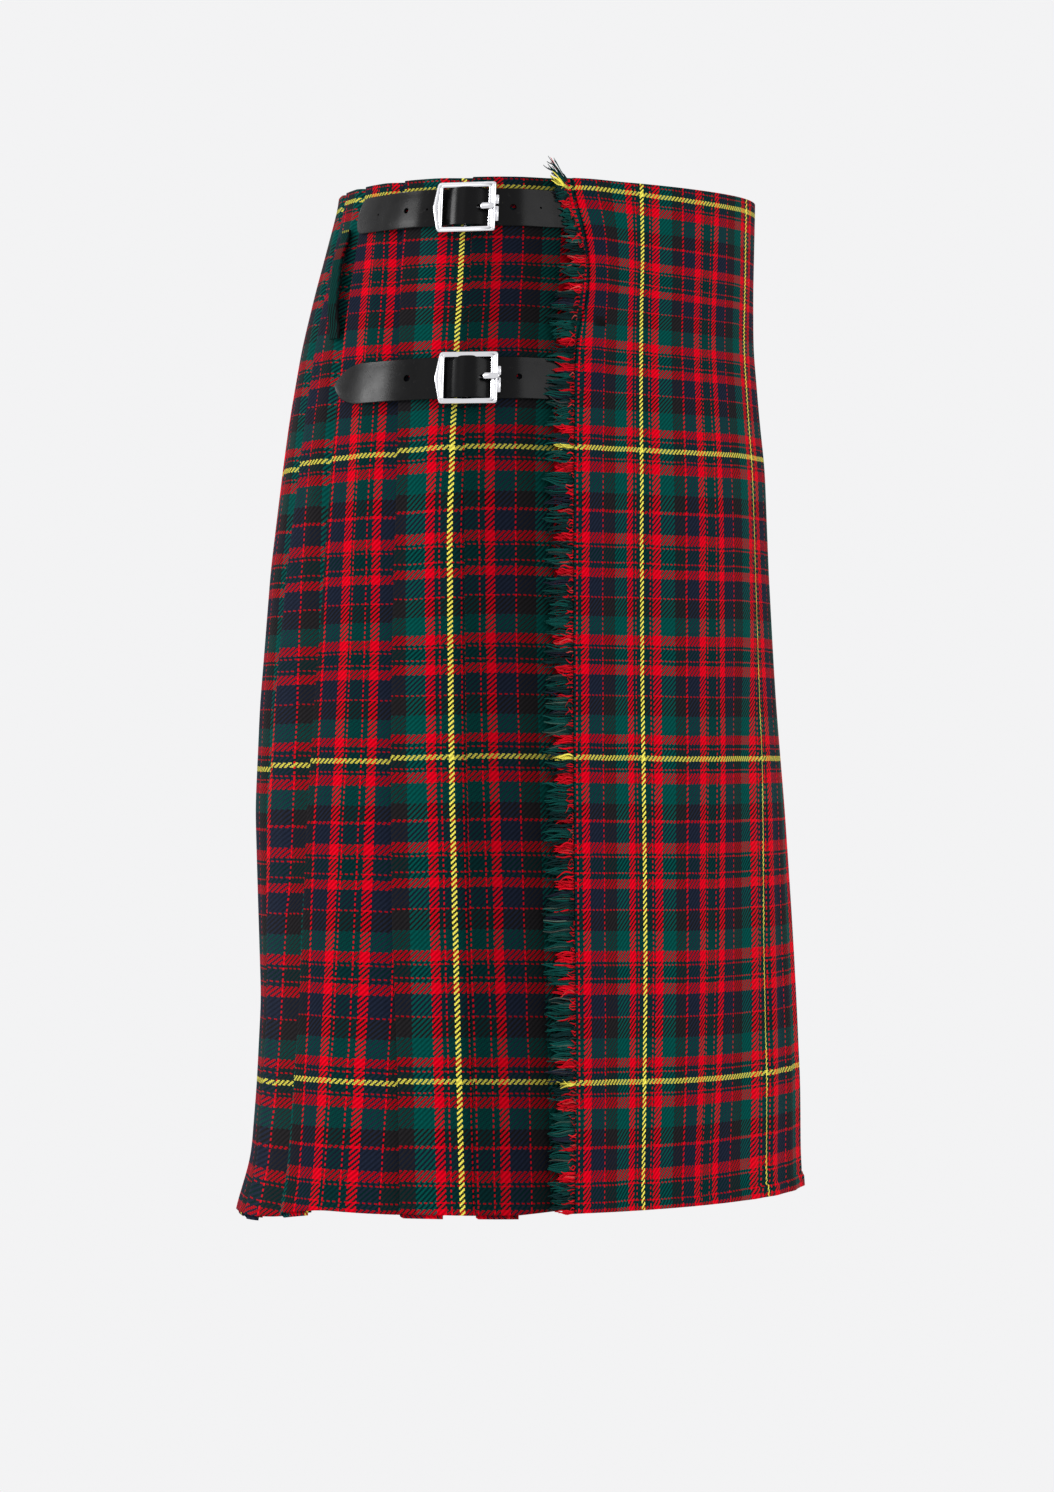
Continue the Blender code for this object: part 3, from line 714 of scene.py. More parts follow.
@dataclass
class OverApron(ClothPanel):
    """The outer apron, from its turned edge behind the fringe to its start under the last fold."""

    EDGE_LEVEL = 2.9 * MM  # the turned edge lies on the fringe's strip
    EDGE_TURN = 0.55 * MM
    EDGE_STEPS = 6  # round the turned edge
    EDGE_HIDDEN = (11.0 * MM, 6.0 * MM)  # columns of the layer turned under
    FALL_FROM, FALL_OVER = 7.0 * MM, 30.0 * MM  # from the edge, where it sinks to its own level
    START = 3.0 * MM  # of the single layer, from the edge
    CLOSE_FROM, CLOSE_TO = 198.0 * MM, 232.0 * MM  # arcs where columns lie closer
    COLUMNS = (39, 30, 59)  # before, across and after that stretch
    RAMP = 38.0 * MM  # how far short of the left fold it starts to sink under it
    RAMP_STEPS = ((7, 0.12), (14, 0.4), (20, 0.62), (26, 0.82), (35, 1.0), (49, 1.0), (63, 1.0))
    HEM_BAND = 6.2 * MM  # width of the pressed hem
    FRONT_FROM, FRONT_OVER = 120.0 * MM, 110.0 * MM  # the hem shows more towards the front
    HEM_FROM, HEM_OVER = 47.0 * MM, 6.0 * MM  # arc where the hem's relief starts
    HEM_WIDENS = 0.35  # share by which the hem is wider at the front
    HEM_STEP = (0.35, 0.9, 2.2 * MM)  # its height and what the front adds, mm; length of the slope
    HEM_LINE = (0.30, 0.15, 1.2 * MM)  # the same of the line above it, and its width
    CHART = WarpChart(
        (219.9, 221.9, 226.0, 237.0, 324.4, 387.4, 450.6, 497.4, 517.4, 528.4, 536.0, 541.4, 648.8),
        Table("t u v w a b c d e f g h i", [
            (35, 39.4, 40.6, 42.5, 45, 92, 125, 159.5, 182.5, 192.3, 197.3, 200.4, 203.6, 268),
            (12, 41, 42.2, 44.6, 47.6, 92.3, 125.4, 159.8, 183.2, 193.2, 198.2, 201.3, 204.5, 268.9),
            (2, 43.2, 44.4, 47.2, 50.8, 92.5, 125.6, 159.8, 183.4, 193.5, 198.5, 201.6, 204.8, 269.2),
            (-8, 46.7, 47.9, 51.1, 54.1, 92.8, 126, 159.9, 183.8, 194, 199, 202, 205.2, 269.6),
            (-17, 49, 50.2, 52.6, 55.3, 93.1, 126.5, 159.9, 184.4, 194.8, 199.9, 202.9, 206.1, 270.5),
            (-30, 52.3, 53.5, 54.9, 57, 93.4, 127.3, 159.9, 185.3, 196.1, 201.3, 204.3, 207.5, 271.9),
            (-46, 51.3, 52.5, 54.6, 56.9, 93.1, 127.1, 159.5, 185, 195.9, 201, 204, 207.2, 271.6),
            (-60, 49.9, 51.1, 53.2, 56.4, 92.8, 127, 159.2, 184.8, 195.7, 200.8, 203.7, 206.9, 271.3),
            (-90, 48.1, 49.3, 51.4, 55, 92.6, 127.2, 160, 185.8, 196.8, 201.9, 204.7, 207.7, 272.2),
            (-130, 47.1, 48.3, 50.4, 53.9, 92.5, 128.2, 162.6, 188.7, 199.9, 205, 207.8, 210.4, 275.1),
            (-195, 46.4, 47.6, 49.7, 53.4, 92.8, 130.2, 166.6, 193.3, 204.8, 210.6, 215.1, 215.8, 281.4),
            (-265, 46.1, 47.3, 49.2, 53.1, 93, 130.4, 166.5, 193.3, 204.8, 212.2, 218.7, 219.3, 297),
            (-333, 46.2, 47.4, 49.1, 53.1, 93.8, 130.6, 166, 188.4, 198, 209.8, 221.2, 221.8, 313.5),
            (-400, 46.9, 48.1, 49.8, 53.7, 94.5, 129.9, 163.4, 187.4, 196.2, 209.6, 219, 219.7, 311.4),
            (-460, 47.6, 48.8, 50.4, 54.2, 94.8, 129.7, 162.2, 187.3, 195.4, 208.2, 217.1, 217.8, 312.4),
            (-526, 48, 49.2, 50.7, 54.7, 94.2, 127.8, 158.6, 185.9, 194.4, 207.3, 218, 218.7, 313.4),
            (-585, 48.1, 49.3, 49.9, 54.2, 93.3, 125.4, 154.9, 184, 192.2, 206.2, 217.1, 217.8, 312.4),
            (-640, 48.1, 49.3, 49.8, 54, 92.5, 124, 153, 182.5, 190.5, 204.5, 216.6, 217.3, 311.9),
        ]), 2.0 * MM)
    DROP = Drop((62, 85, 110, 135, 160, 180), Table("a b c d e f", [
        (20, -0.4, 0.6, 1.7, 2.4, 2.8, 2.8), (-5, -0.4, 0.7, 2.1, 2.8, 3.2, 3.2),
        (-30, -0.1, 1.2, 2.8, 3.5, 3.9, 3.9), (-60, 0.2, 1.0, 2.3, 2.7, 3.0, 3.0),
        (-90, -2.1, -1.4, -0.5, -0.1, -0.3, -0.3), (-130, 0.0, -0.2, 0.6, 0.3, 0.1, -0.2),
        (-160, 0.3, -0.2, 0.2, -0.1, -0.3, -0.7), (-195, 0.9, 0.5, 1.0, 0.9, 0.8, 0.4),
        (-265, 0.9, 0.6, 0.9, 0.8, 0.6, 0.4), (-300, 0.8, 0.6, 1.0, 1.2, 1.2, 1.1),
        (-333, 1.0, 0.9, 1.5, 1.7, 1.7, 1.6), (-365, 1.2, 1.3, 1.8, 2.0, 2.2, 2.0),
        (-400, 1.5, 1.6, 2.1, 2.4, 2.6, 2.3), (-460, 1.6, 2.0, 2.5, 3.0, 3.3, 3.1),
        (-495, 1.4, 1.6, 2.3, 2.8, 2.9, 2.8), (-526, 1.6, 1.7, 2.5, 2.8, 2.9, 2.7),
        (-555, 1.2, 1.6, 1.8, 1.8, 1.5, 1.1), (-585, 0.9, 0.6, 1.0, 1.2, 0.9, 0.3),
    ]))

    def relief(self, arc: Array, height: Array) -> Array:
        """The creases, and the pressed hem with the line above it.

        Args:
            arc: arcs of the places.
            height: their heights.

        Returns:
            How far each place moves out.
        """
        above = height - self.form.hem_edge(arc)
        front = ease((arc - self.FRONT_FROM) / self.FRONT_OVER)
        band = self.HEM_BAND * (1 + self.HEM_WIDENS * front)
        rise, more, slope = self.HEM_STEP
        step = ease((band - above) / slope) * (rise + more * front) * MM
        depth, more, width = self.HEM_LINE
        line = np.exp(-((above - band) / width) ** 2) * (depth + more * front) * MM
        shown = ease((arc - self.HEM_FROM) / self.HEM_OVER)
        return super().relief(arc, height) + (step - line) * shown

    def layout(self, height: Array) -> list[Column]:
        """Columns from the hidden turned layer, round the front, to the hidden left end.

        Args:
            height: heights of the rows.

        Returns:
            The columns, in the order of the flat cloth.
        """
        form, turn = self.form, self.EDGE_TURN
        edge = EDGE.at("edge", height)
        left = form.front_half(height) - LEFT_FOLD
        wrap = math.pi * turn
        columns = []
        for inside in self.EDGE_HIDDEN:
            columns.append(self.column(edge + inside, self.EDGE_LEVEL - 2 * turn, height,
                                       edge + turn - wrap - (inside - turn)))
        for step in range(self.EDGE_STEPS + 1):
            angle = -math.pi / 2 + math.pi * step / self.EDGE_STEPS
            columns.append(self.column(edge + turn - turn * math.cos(angle),
                                       self.EDGE_LEVEL - turn + turn * math.sin(angle), height,
                                       edge + turn - wrap * (1 - step / self.EDGE_STEPS)))
        ramp = left - self.RAMP
        places = (edge + self.START, self.CLOSE_FROM, self.CLOSE_TO, ramp)
        arcs = []
        for start, end, count in zip(places, places[1:], self.COLUMNS):
            arcs += [start + (end - start) * share for share in np.linspace(0, 1, count + 1)[1:]]
        for arc in arcs:
            fall = ease((arc - edge - self.FALL_FROM) / self.FALL_OVER)
            out = self.EDGE_LEVEL + (APRON_OUT - self.EDGE_LEVEL) * fall
            columns.append(self.column(arc, out, height))
        for past, share in self.RAMP_STEPS:
            arc = ramp + past * MM
            columns.append(self.column(arc, APRON_OUT + (PLEAT_LOW - APRON_OUT) * share, height))
        return columns


@dataclass
class Pleating:
    """The pleats behind, each with its own place in the warp."""

    form: SkirtForm
    finish: Finish
    JUMP = 90.0  # units of the warp hidden in each fold behind
    SHOWN = 82.0  # and shown on each pleat there
    FOURTH, BEFORE_FIFTH = 300.0, 250.0  # stripes at the folds of the next two pleats
    FOURTH_SCALE, SCALE = 0.9 * MM, 0.60 * MM
    FIRST = WarpChart((0.0,), Table("yellow", [
        (20, -24.6), (-5, -25.2), (-30, -26.2), (-60, -27.6), (-90, -28.9), (-130, -30.3), (-160, -31.2),
        (-195, -32.1), (-265, -31.5), (-333, -30.6), (-400, -29.0), (-460, -27.4), (-526, -25.6),
        (-585, -24.0), (-640, -22.6),
    ]), 0.600 * MM)
    SECOND = WarpChart((90.5, 126.2, 152.0), Table("a b c", [
        (-5, -98.3, -79.0, -63.5), (-30, -98.4, -77.4, -61.9), (-60, -98.6, -77.1, -61.6),
        (-90, -98.8, -78.3, -62.5), (-130, -100.0, -80.0, -64.2), (-160, -101.1, -81.2, -65.4),
        (-195, -101.8, -81.9, -66.1), (-265, -102.7, -81.4, -65.5), (-333, -104.9, -82.3, -66.4),
        (-400, -109.3, -84.4, -66.5), (-460, -114.2, -87.4, -67.6), (-526, -119.9, -90.7, -71.2),
        (-585, -124.0, -94.4, -74.9), (-640, -127.2, -97.5, -77.6),
    ]), 0.64 * MM, 0.60 * MM)
    THIRD = WarpChart((237.0, 258.6, 280.0), Table("a b c", [
        (20, -167, -145.5, -131.5), (-50, -167, -142.5, -130), (-106, -173, -145.5, -132.5),
        (-160, -177, -150, -135), (-232, -180, -150.2, -132.5), (-308, -181, -150, -130.8),
        (-354, -184, -152.5, -135.7), (-400, -191, -158, -143), (-430, -202, -166, -149.4),
        (-466, -224, -175, -153.5), (-495, -233, -180.5, -156.8), (-526, -239.5, -184.7, -159),
        (-555, -248.6, -191.2, -164.4), (-585, -255.7, -196.3, -168.2), (-640, -261, -199, -171.5),
    ]), 0.95 * MM, 1.0 * MM)
    # Height, and how much lower the rows lie near and far on the first, second and third pleat
    DROPS = (
        (-5, 0.4, 0, 0, 0, 0.1, -0.1), (-30, 0, 0.5, 0, -0.1, -0.6, -1.0),
        (-60, -0.1, 0.8, 0.5, 1.0, 0.8, 0.6), (-90, 0.5, 1.1, 1.4, 2.0, 2.2, 2.9),
        (-130, -0.4, 1.6, 2.6, 4.1, 4.4, 5.4), (-160, -0.1, 1.9, 3.5, 5.1, 5.6, 5.9),
        (-195, 0.7, 2.4, 4.2, 5.6, 6.7, 7.3), (-230, 0.9, 2.8, 4.8, 5.9, 7.4, 8.0),
        (-265, 0.5, 1.9, 4.0, 5.0, 7.1, 7.5), (-300, 0.2, 1.5, 3.3, 3.7, 5.4, 6.2),
        (-333, 0.3, 1.1, 2.8, 3.1, 5.2, 5.9), (-365, -0.1, 0.9, 2.1, 2.3, 4.9, 5.4),
        (-400, -0.2, 0.7, 2.2, 2.3, 5.2, 5.7), (-430, -0.1, 0.8, 2.0, 2.1, 5.1, 5.8),
        (-460, -0.1, 0.8, 1.8, 2.1, 6.0, 6.7), (-495, -0.4, 0.4, 2.0, 1.7, 5.9, 6.9),
        (-526, -0.2, 0.2, 1.4, 1.7, 6.1, 7.3), (-555, -0.7, -0.2, 1.0, 1.5, 5.4, 7.0),
        (-585, -0.5, 0, 1.0, 1.5, 6.5, 7.6),
    )
    DROP_PLACES = ((0.2, 0.7), (0.25, 0.75), (0.28, 0.65))  # near and far, as shares of each
    BEHIND = 2.4  # how much lower the rows lie again on the pleats further behind
    HEIGHTS = (20, -40, -90, -148, -240, -333, -430, -526, -615)
    LIFT = Table("lift", [(20, 0), (-150, 0.2), (-300, 1.0), (-450, 1.7), (-560, 1.9), (-620, 1.6)])

    def folded_chart(self, stripe: float, number: int, scale: float) -> WarpChart:
        """A chart whose stripe runs down a fold.

        Args:
            stripe: the place in the chart at the fold.
            number: the fold.
            scale: width of one unit, in metres.

        Returns:
            The chart.
        """
        rows = [(height, -float(self.form.fold(number, height * MM)) / MM) for height in self.HEIGHTS]
        return WarpChart((stripe,), Table("fold", rows), scale, scale)

    def charts(self) -> list[WarpChart]:
        """The chart of each pleat, in order.

        Returns:
            The charts.
        """
        result = [self.FIRST, self.SECOND, self.THIRD,
                  self.folded_chart(self.FOURTH, SHOWN_PLEATS, self.FOURTH_SCALE)]
        stripe = self.BEFORE_FIFTH
        for number in range(SHOWN_PLEATS + 1, PLEAT_COUNT):
            stripe -= self.JUMP
            result.append(self.folded_chart(stripe, number, self.SCALE))
            stripe -= self.SHOWN
        return result

    def drops(self) -> list[Drop]:
        """The drop of the weave's rows on each pleat, in order.

        Returns:
            The drops.
        """
        height, *shown = np.array(self.DROPS).T
        tracks = list(zip(self.DROP_PLACES, shown[::2], shown[1::2]))
        behind = shown[-1] + self.BEHIND
        tracks += [((0.0, 1.0), behind, behind)] * HIDDEN_PLEATS
        return [Drop(places, Table("near far", np.stack([height, near, far], axis=1)))
                for places, near, far in tracks]

    def build(self) -> list[Piece]:
        """Make all the pleats.

        Returns:
            The pleats, from the first.
        """
        pleats = []
        for number, (chart, drop) in enumerate(zip(self.charts(), self.drops()), 1):
            under = "under_apron" if number == 1 else f"pleat_{number - 1:02d}"
            pleat = KnifePleat(self.form, self.finish, f"pleat_{number:02d}", (under,), "folded", chart,
                               drop=drop, lift=self.LIFT, number=number)
            pleats.append(pleat.build())
        return pleats


def operator(operation: str, swapped: bool = False) -> Callable[..., "Value"]:
    """Make a method of Value from a Math node's operation.

    Args:
        operation: Blender's name for it.
        swapped: put the other number first.

    Returns:
        The method, which takes the other number where the operation has one.
    """
    def method(self: "Value", *others: "Value | float") -> "Value":
        """Add the node and wrap its result."""
        return self.graph.math(operation, *((*others, self) if swapped else (self, *others)))
    return method


class Value:
    """A number in a material's graph: Python's operators add the nodes for it."""

    def __init__(self, graph: "Graph", socket: Socket) -> None:
        """Wrap the socket that gives the number."""
        self.graph, self.socket = graph, socket

    __add__ = __radd__ = operator("ADD")
    __mul__ = __rmul__ = operator("MULTIPLY")
    __sub__, __rsub__ = operator("SUBTRACT"), operator("SUBTRACT", swapped=True)
    __truediv__, __mod__ = operator("DIVIDE"), operator("FLOORED_MODULO")
    __lt__, __gt__ = operator("LESS_THAN"), operator("GREATER_THAN")  # 1 where it holds, otherwise 0
    __abs__, floor, sine = operator("ABSOLUTE"), operator("FLOOR"), operator("SINE")

    def clamped(self) -> "Value":
        """The number, held between 0 and 1."""
        return self.graph.math("MINIMUM", self.graph.math("MAXIMUM", self, 0.0), 1.0)


class Graph:
    """A material's node graph around one Principled shader."""

    def __init__(self, name: str) -> None:
        """Start a material of that name.

        Args:
            name: the material's name.
        """
        self.material = bpy.data.materials.new(name)
        self.material.use_nodes = True
        self.tree = self.material.node_tree
        self.shader = self.tree.nodes["Principled BSDF"]

    def node(self, kind: str, settings: dict | None = None, inputs: dict | None = None) -> bpy.types.Node:
        """Add a node.

        Args:
            kind: its type, without "ShaderNode".
            settings: its properties.
            inputs: what goes into its sockets: a Value, a socket or a plain number.

        Returns:
            The node.
        """
        node = self.tree.nodes.new("ShaderNode" + kind)
        for name, value in (settings or {}).items():
            setattr(node, name, value)
        for name, value in (inputs or {}).items():
            self.feed(node.inputs[name], value)
        return node

    def feed(self, socket: Socket, value: object) -> None:
        """Link a value to a socket, or set the socket where the value is plain.

        Args:
            socket: what takes the value.
            value: a Value, a socket, a colour or a number.
        """
        if isinstance(value, Value):
            value = value.socket
        if isinstance(value, Socket):
            self.tree.links.new(value, socket)
        elif isinstance(value, tuple) and len(value) == 3 and socket.type == "RGBA":
            socket.default_value = (*value, 1.0)
        else:
            socket.default_value = value

    def math(self, operation: str, *values: Value | float) -> Value:
        """A Math node on some numbers."""
        node = self.node("Math", {"operation": operation}, dict(enumerate(values)))
        return Value(self, node.outputs[0])

    def weave(self) -> tuple[Value, Value]:
        """The two coordinates of the weave map.

        Returns:
            How far along the warp's chart, and the weft's.
        """
        spot = self.node("UVMap", {"uv_map": WEAVE_MAP})
        apart = self.node("SeparateXYZ", inputs={"Vector": spot.outputs["UV"]})
        return Value(self, apart.outputs["X"]), Value(self, apart.outputs["Y"])

    def vector(self, x: Value | float, y: Value | float, z: Value | float = 0.0) -> Socket:
        """Three numbers as a vector."""
        return self.node("CombineXYZ", inputs={"X": x, "Y": y, "Z": z}).outputs[0]

    def here(self) -> Socket:
        """The place on the object, in metres."""
        return self.node("TexCoord").outputs["Object"]

    def noise(self, spot: Socket, scale: float, detail: float = 2.0,
              roughness: float = 0.5) -> Value:
        """Noise about 0.5."""
        node = self.node("TexNoise", inputs={"Vector": spot, "Scale": scale, "Detail": detail,
                                             "Roughness": roughness})
        return Value(self, node.outputs[0])

    def random(self, x: Value | float, y: Value | float) -> Value:
        """A number from 0 to 1 that differs at each pair of whole numbers."""
        node = self.node("TexWhiteNoise", {"noise_dimensions": "2D"}, {"Vector": self.vector(x, y)})
        return Value(self, node.outputs["Value"])

    def mix(self, share: Value | float, low: object, high: object) -> Socket:
        """Mix two colours.

        Args:
            share: how much of the second.
            low: the first colour.
            high: the second colour.

        Returns:
            The mixed colour's socket.
        """
        node = self.node("Mix", {"data_type": "RGBA"})
        for index, value in ((0, share), (6, low), (7, high)):
            self.feed(node.inputs[index], value)
        return node.outputs[2]

    def bright(self, colour: object, amount: Value) -> Socket:
        """A colour times a number."""
        node = self.node("VectorMath", {"operation": "SCALE"}, {0: colour, "Scale": amount})
        return node.outputs[0]

    def ramp(self, share: Value, stops: Sequence[tuple[float, Colour]]) -> Socket:
        """Pick a colour from bands.

        Args:
            share: the place along the bands, from 0 to 1.
            stops: where each band starts and its colour; the first starts at 0.

        Returns:
            The colour's socket.
        """
        node = self.node("ValToRGB", inputs={"Fac": share})
        bands = node.color_ramp
        bands.interpolation = "CONSTANT"
        while len(bands.elements) > 1:
            bands.elements.remove(bands.elements[-1])
        bands.elements[0].position = stops[0][0]
        bands.elements[0].color = (*stops[0][1], 1.0)
        for place, colour in stops[1:]:
            bands.elements.new(place).color = (*colour, 1.0)
        return node.outputs["Color"]

    def bump(self, height: Value, distance: float, strength: float = 1.0) -> None:
        """Raise the surface by the height, from 0 to 1, times a distance."""
        node = self.node("Bump", inputs={"Height": height, "Distance": distance, "Strength": strength})
        self.feed(self.shader.inputs["Normal"], node.outputs[0])

    def set(self, **sockets: object) -> Finish:
        """Set the shader's own sockets, their names with _ for spaces.

        Args:
            sockets: what each socket takes.

        Returns:
            The material.
        """
        for name, value in sockets.items():
            self.feed(self.shader.inputs[name.replace("_", " ")], value)
        return self.material


def display(red: float, green: float, blue: float) -> Colour:
    """A colour in linear light from its 0 to 255 display numbers."""
    return tuple((c / 255 / 12.92) if c <= 10 else ((c / 255 + 0.055) / 1.055) ** 2.4
                 for c in (red, green, blue))


class Yarn(Enum):
    """The dyed yarns of the tartan, in display numbers."""

    RED = (229, 0, 29)
    GREEN = (0, 76, 70)
    FOREST = (5, 45, 46)
    BLACK = (33, 31, 33)
    NAVY = (27, 34, 51)
    YELLOW = (255, 244, 96)

    @property
    def colour(self) -> Colour:
        """The yarn's colour in linear light."""
        return display(*self.value)


class Sett:
    """The traditional chart of the tartan: where each colour starts, in units of the repeat."""

    REPEAT = WarpChart.REPEAT
    THREADS = 240  # in one repeat, an even number
    ENTRIES = 255  # steps of a colour ramp
    BANDS = (
        (0, "YELLOW"), (2.7, "FOREST"), (10.84, "RED"), (12.19, "FOREST"), (15.5, "RED"), (26, "GREEN"),
        (46, "BLACK"), (62.2, "RED"), (64.91, "NAVY"), (85, "RED"), (96, "FOREST"), (98.7, "RED"),
        (100.05, "FOREST"), (114.92, "RED"), (116.27, "FOREST"), (121, "RED"), (131.5, "NAVY"),
        (151.41, "RED"), (152.77, "BLACK"), (173, "GREEN"), (193, "RED"), (204, "FOREST"), (206.83, "RED"),
        (208.18, "FOREST"), (220.35, "RED"), (221.7, "FOREST"), (226, "RED"), (237, "NAVY"), (258.2, "RED"),
        (259.55, "BLACK"), (280, "GREEN"), (300, "RED"), (310, "FOREST"), (313.61, "RED"),
        (314.97, "FOREST"), (321.7, "YELLOW"),
    )
    SECOND_YELLOW = ((211.7, "YELLOW"), (217.0, "FOREST"))

    @classmethod
    def half(cls, second: bool, warp: bool) -> list[tuple[float, Colour]]:
        """The stops of half a repeat, for a ramp that has one entry a thread.

        Args:
            second: the later half of the repeat.
            warp: the stripes that run down, which have a second yellow line.

        Returns:
            Each stop's place, from 0 to 1, and its colour.
        """
        bands = sorted(cls.BANDS + (cls.SECOND_YELLOW if warp else ()))
        threads = [(round(start * cls.THREADS / cls.REPEAT), Yarn[name].colour) for start, name in bands]
        count = cls.THREADS // 2
        first = count if second else 0
        colour = [c for start, c in threads if start <= first][-1]
        inside = [(start - first, c) for start, c in threads if first < start < first + count]
        return [(0.0, colour)] + [((start - 0.5) / cls.ENTRIES, c) for start, c in inside]

    @classmethod
    def threads(cls, graph: Graph, place: Value, warp: bool) -> tuple[Value, Socket]:
        """Number the threads that run one way and colour them.

        Args:
            graph: the material's graph.
            place: repeats of the chart.
            warp: the threads that run down.

        Returns:
            The thread's number and the socket of its colour.
        """
        number = (place * cls.THREADS + 0.5).floor()
        count = cls.THREADS // 2
        spot = ((number % count) + 0.5) / cls.ENTRIES
        later = (number % cls.THREADS) > (count - 0.5)
        first, second = (graph.ramp(spot, cls.half(part, warp)) for part in (False, True))
        return number, graph.mix(later, first, second)

    @classmethod
    def name_at(cls, repeats: Array) -> Array:
        """Names of the weft's colours at places in the chart.

        Args:
            repeats: places in the chart.

        Returns:
            The names.
        """
        unit = np.mod(repeats, 1.0) * cls.REPEAT
        starts = np.array([start for start, _ in cls.BANDS])
        names = np.array([name for _, name in cls.BANDS])
        return names[np.searchsorted(starts, unit, "right") - 1]


@dataclass(frozen=True)
class TartanCloth:
    """Worsted twill, each thread coloured by the chart."""

    name: str = "tartan_twill"
    thread_unevenness: float = 0.16
    fibre_unevenness: float = 0.30
    wander: float = 0.005  # how far threads stray, in repeats
    contrast: float = 0.24  # how much less light a thread gets between threads of another colour
    ridge: float = 0.52  # how dark the painted shade in the furrows between the twill's ridges is
    roughness: float = 0.9
    bump: float = 0.16 * MM
    painted_shade_tone: float = 1.0  # painted shade: light left over the whole piece, where it lies in a hollow
    painted_shadow_band: tuple[float, float, float] | None = None  # painted shadow in a band: y from, y to, and the light left there

    def make(self) -> Finish:
        """Build the material.

        Returns:
            The material.
        """
        graph = Graph(self.name)
        warp, weft = graph.weave()
        warp = warp + (graph.noise(graph.here(), 38.0, 2.0) - 0.5) * self.wander
        weft = weft + (graph.noise(graph.vector(weft * 3.0, warp * 9.0, 7.0), 1.0, 2.0) - 0.5) * self.wander
        end, warp_colour = Sett.threads(graph, warp, True)
        pick, weft_colour = Sett.threads(graph, weft, False)
        on_top = ((end + pick) % 4.0) < 1.5
        colour = graph.mix(on_top, weft_colour, warp_colour)
        apart = graph.node("VectorMath", {"operation": "DISTANCE"}, {0: warp_colour, 1: weft_colour})
        apart = Value(graph, apart.outputs["Value"])
        unlike = (apart * 2.2).clamped() * (apart * -1.3 + 1.95).clamped()
        # the ridges of the twill, and the round back of each float
        slope = (warp * Sett.THREADS + weft * Sett.THREADS + 0.5) * (math.pi / 2)
        ridge = slope.sine() * 0.5 + 0.5
        fibre = graph.noise(graph.vector(warp * 900.0, weft * 900.0), 1.0, 2.0, 0.6)
        cloud = graph.noise(graph.here(), 9.0, 3.0)
        yarn = graph.random(end, 3.0) * on_top + graph.random(5.0, pick) * (1.0 - on_top)
        # painted shade: darker in the furrows between the twill's ridges
        shade = ((yarn - 0.5) * self.thread_unevenness + (fibre - 0.5) * self.fibre_unevenness
                 + (cloud - 0.5) * 0.16 + 1.0) * (ridge * self.ridge + (1.06 - self.ridge))
        # painted shade: darker on threads between threads of another colour, and over the whole piece by a
        # fixed share
        shade = shade * (1.0 - unlike * self.contrast) * self.painted_shade_tone
        # painted shadow: darker still in a band by y, beside the apron's edge
        if self.painted_shadow_band:
            start, end, low = self.painted_shadow_band
            place = graph.node("SeparateXYZ", inputs={"Vector": graph.here()}).outputs["Y"]
            painted_shadow_mask = ((Value(graph, place) * -1.0 + start) / (start - end)).clamped()
            shade = shade * (1.0 - painted_shadow_mask * (1.0 - low))
        graph.bump(ridge * 0.75 + fibre * 0.25, self.bump, 0.6)
        return graph.set(Base_Color=graph.bright(colour, shade), Roughness=self.roughness,
                         Specular_IOR_Level=0.03)


@dataclass(frozen=True)
class FringeYarn:
    """Loose wool ends; the weave map holds an end's number and the place along it, and its repeat."""

    name: str = "fringe_yarn"
    pale_share: float = 0.08  # of the ends are worn pale
    worn: Colour = display(186, 170, 150)

    def make(self) -> Finish:
        """Build the material.

        Returns:
            The material.
        """
        graph = Graph(self.name)
        place, weft = graph.weave()
        end = place.floor()
        along = place - end
        wool = Sett.threads(graph, weft, False)[1]
        pale = ((graph.random(end, 3.0) - (1.0 - self.pale_share)) * 9.0).clamped()
        colour = graph.mix(pale * 0.28, wool, self.worn)
        twist = graph.noise(graph.vector(along * 12.0, end * 3.7), 1.0, 2.0)
        # painted shadow: each end darker towards its root
        root = (along * 5.0).clamped() * 0.6 + 0.4
        shade = (twist * 0.8 + 0.30 + (graph.random(end, 7.0) - 0.5) * 0.6) * root
        graph.bump(twist, 0.12 * MM, 0.8)
        return graph.set(Base_Color=graph.bright(colour, shade), Roughness=twist * 0.1 + 0.82,
                         Specular_IOR_Level=0.15)


@dataclass(frozen=True)
class StrapLeather:
    """Smooth finished bridle leather, a little crazed and rubbed in spots."""

    name: str = "black_leather"
    grain: float = 1500.0
    colour: Colour = display(12, 12, 13)
    worn: Colour = display(60, 59, 58)
    roughness: float = 0.24

    def make(self) -> Finish:
        """Build the material.

        Returns:
            The material.
        """
        graph = Graph(self.name)
        spot = graph.here()
        pebble = graph.node("TexVoronoi", {"feature": "DISTANCE_TO_EDGE"},
                            {"Vector": spot, "Scale": self.grain})
        cell = Value(graph, pebble.outputs[0]).clamped()
        cloud = graph.noise(spot, 90.0, 4.0)
        fine = graph.noise(spot, 2600.0, 2.0)
        rubbed = ((graph.noise(spot, 240.0, 5.0, 0.7) - 0.60) * 6.0).clamped()
        colour = graph.mix(rubbed * 0.25, self.colour, self.worn)
        graph.bump(cell * 0.35 + fine * 0.35 + cloud * 0.3, 0.10 * MM, 0.35)
        return graph.set(Base_Color=graph.bright(colour, cloud * 0.5 + 0.75),
                         Roughness=cloud * 0.16 + fine * 0.08 + rubbed * 0.12 + (self.roughness - 0.12),
                         Specular_IOR_Level=0.10)


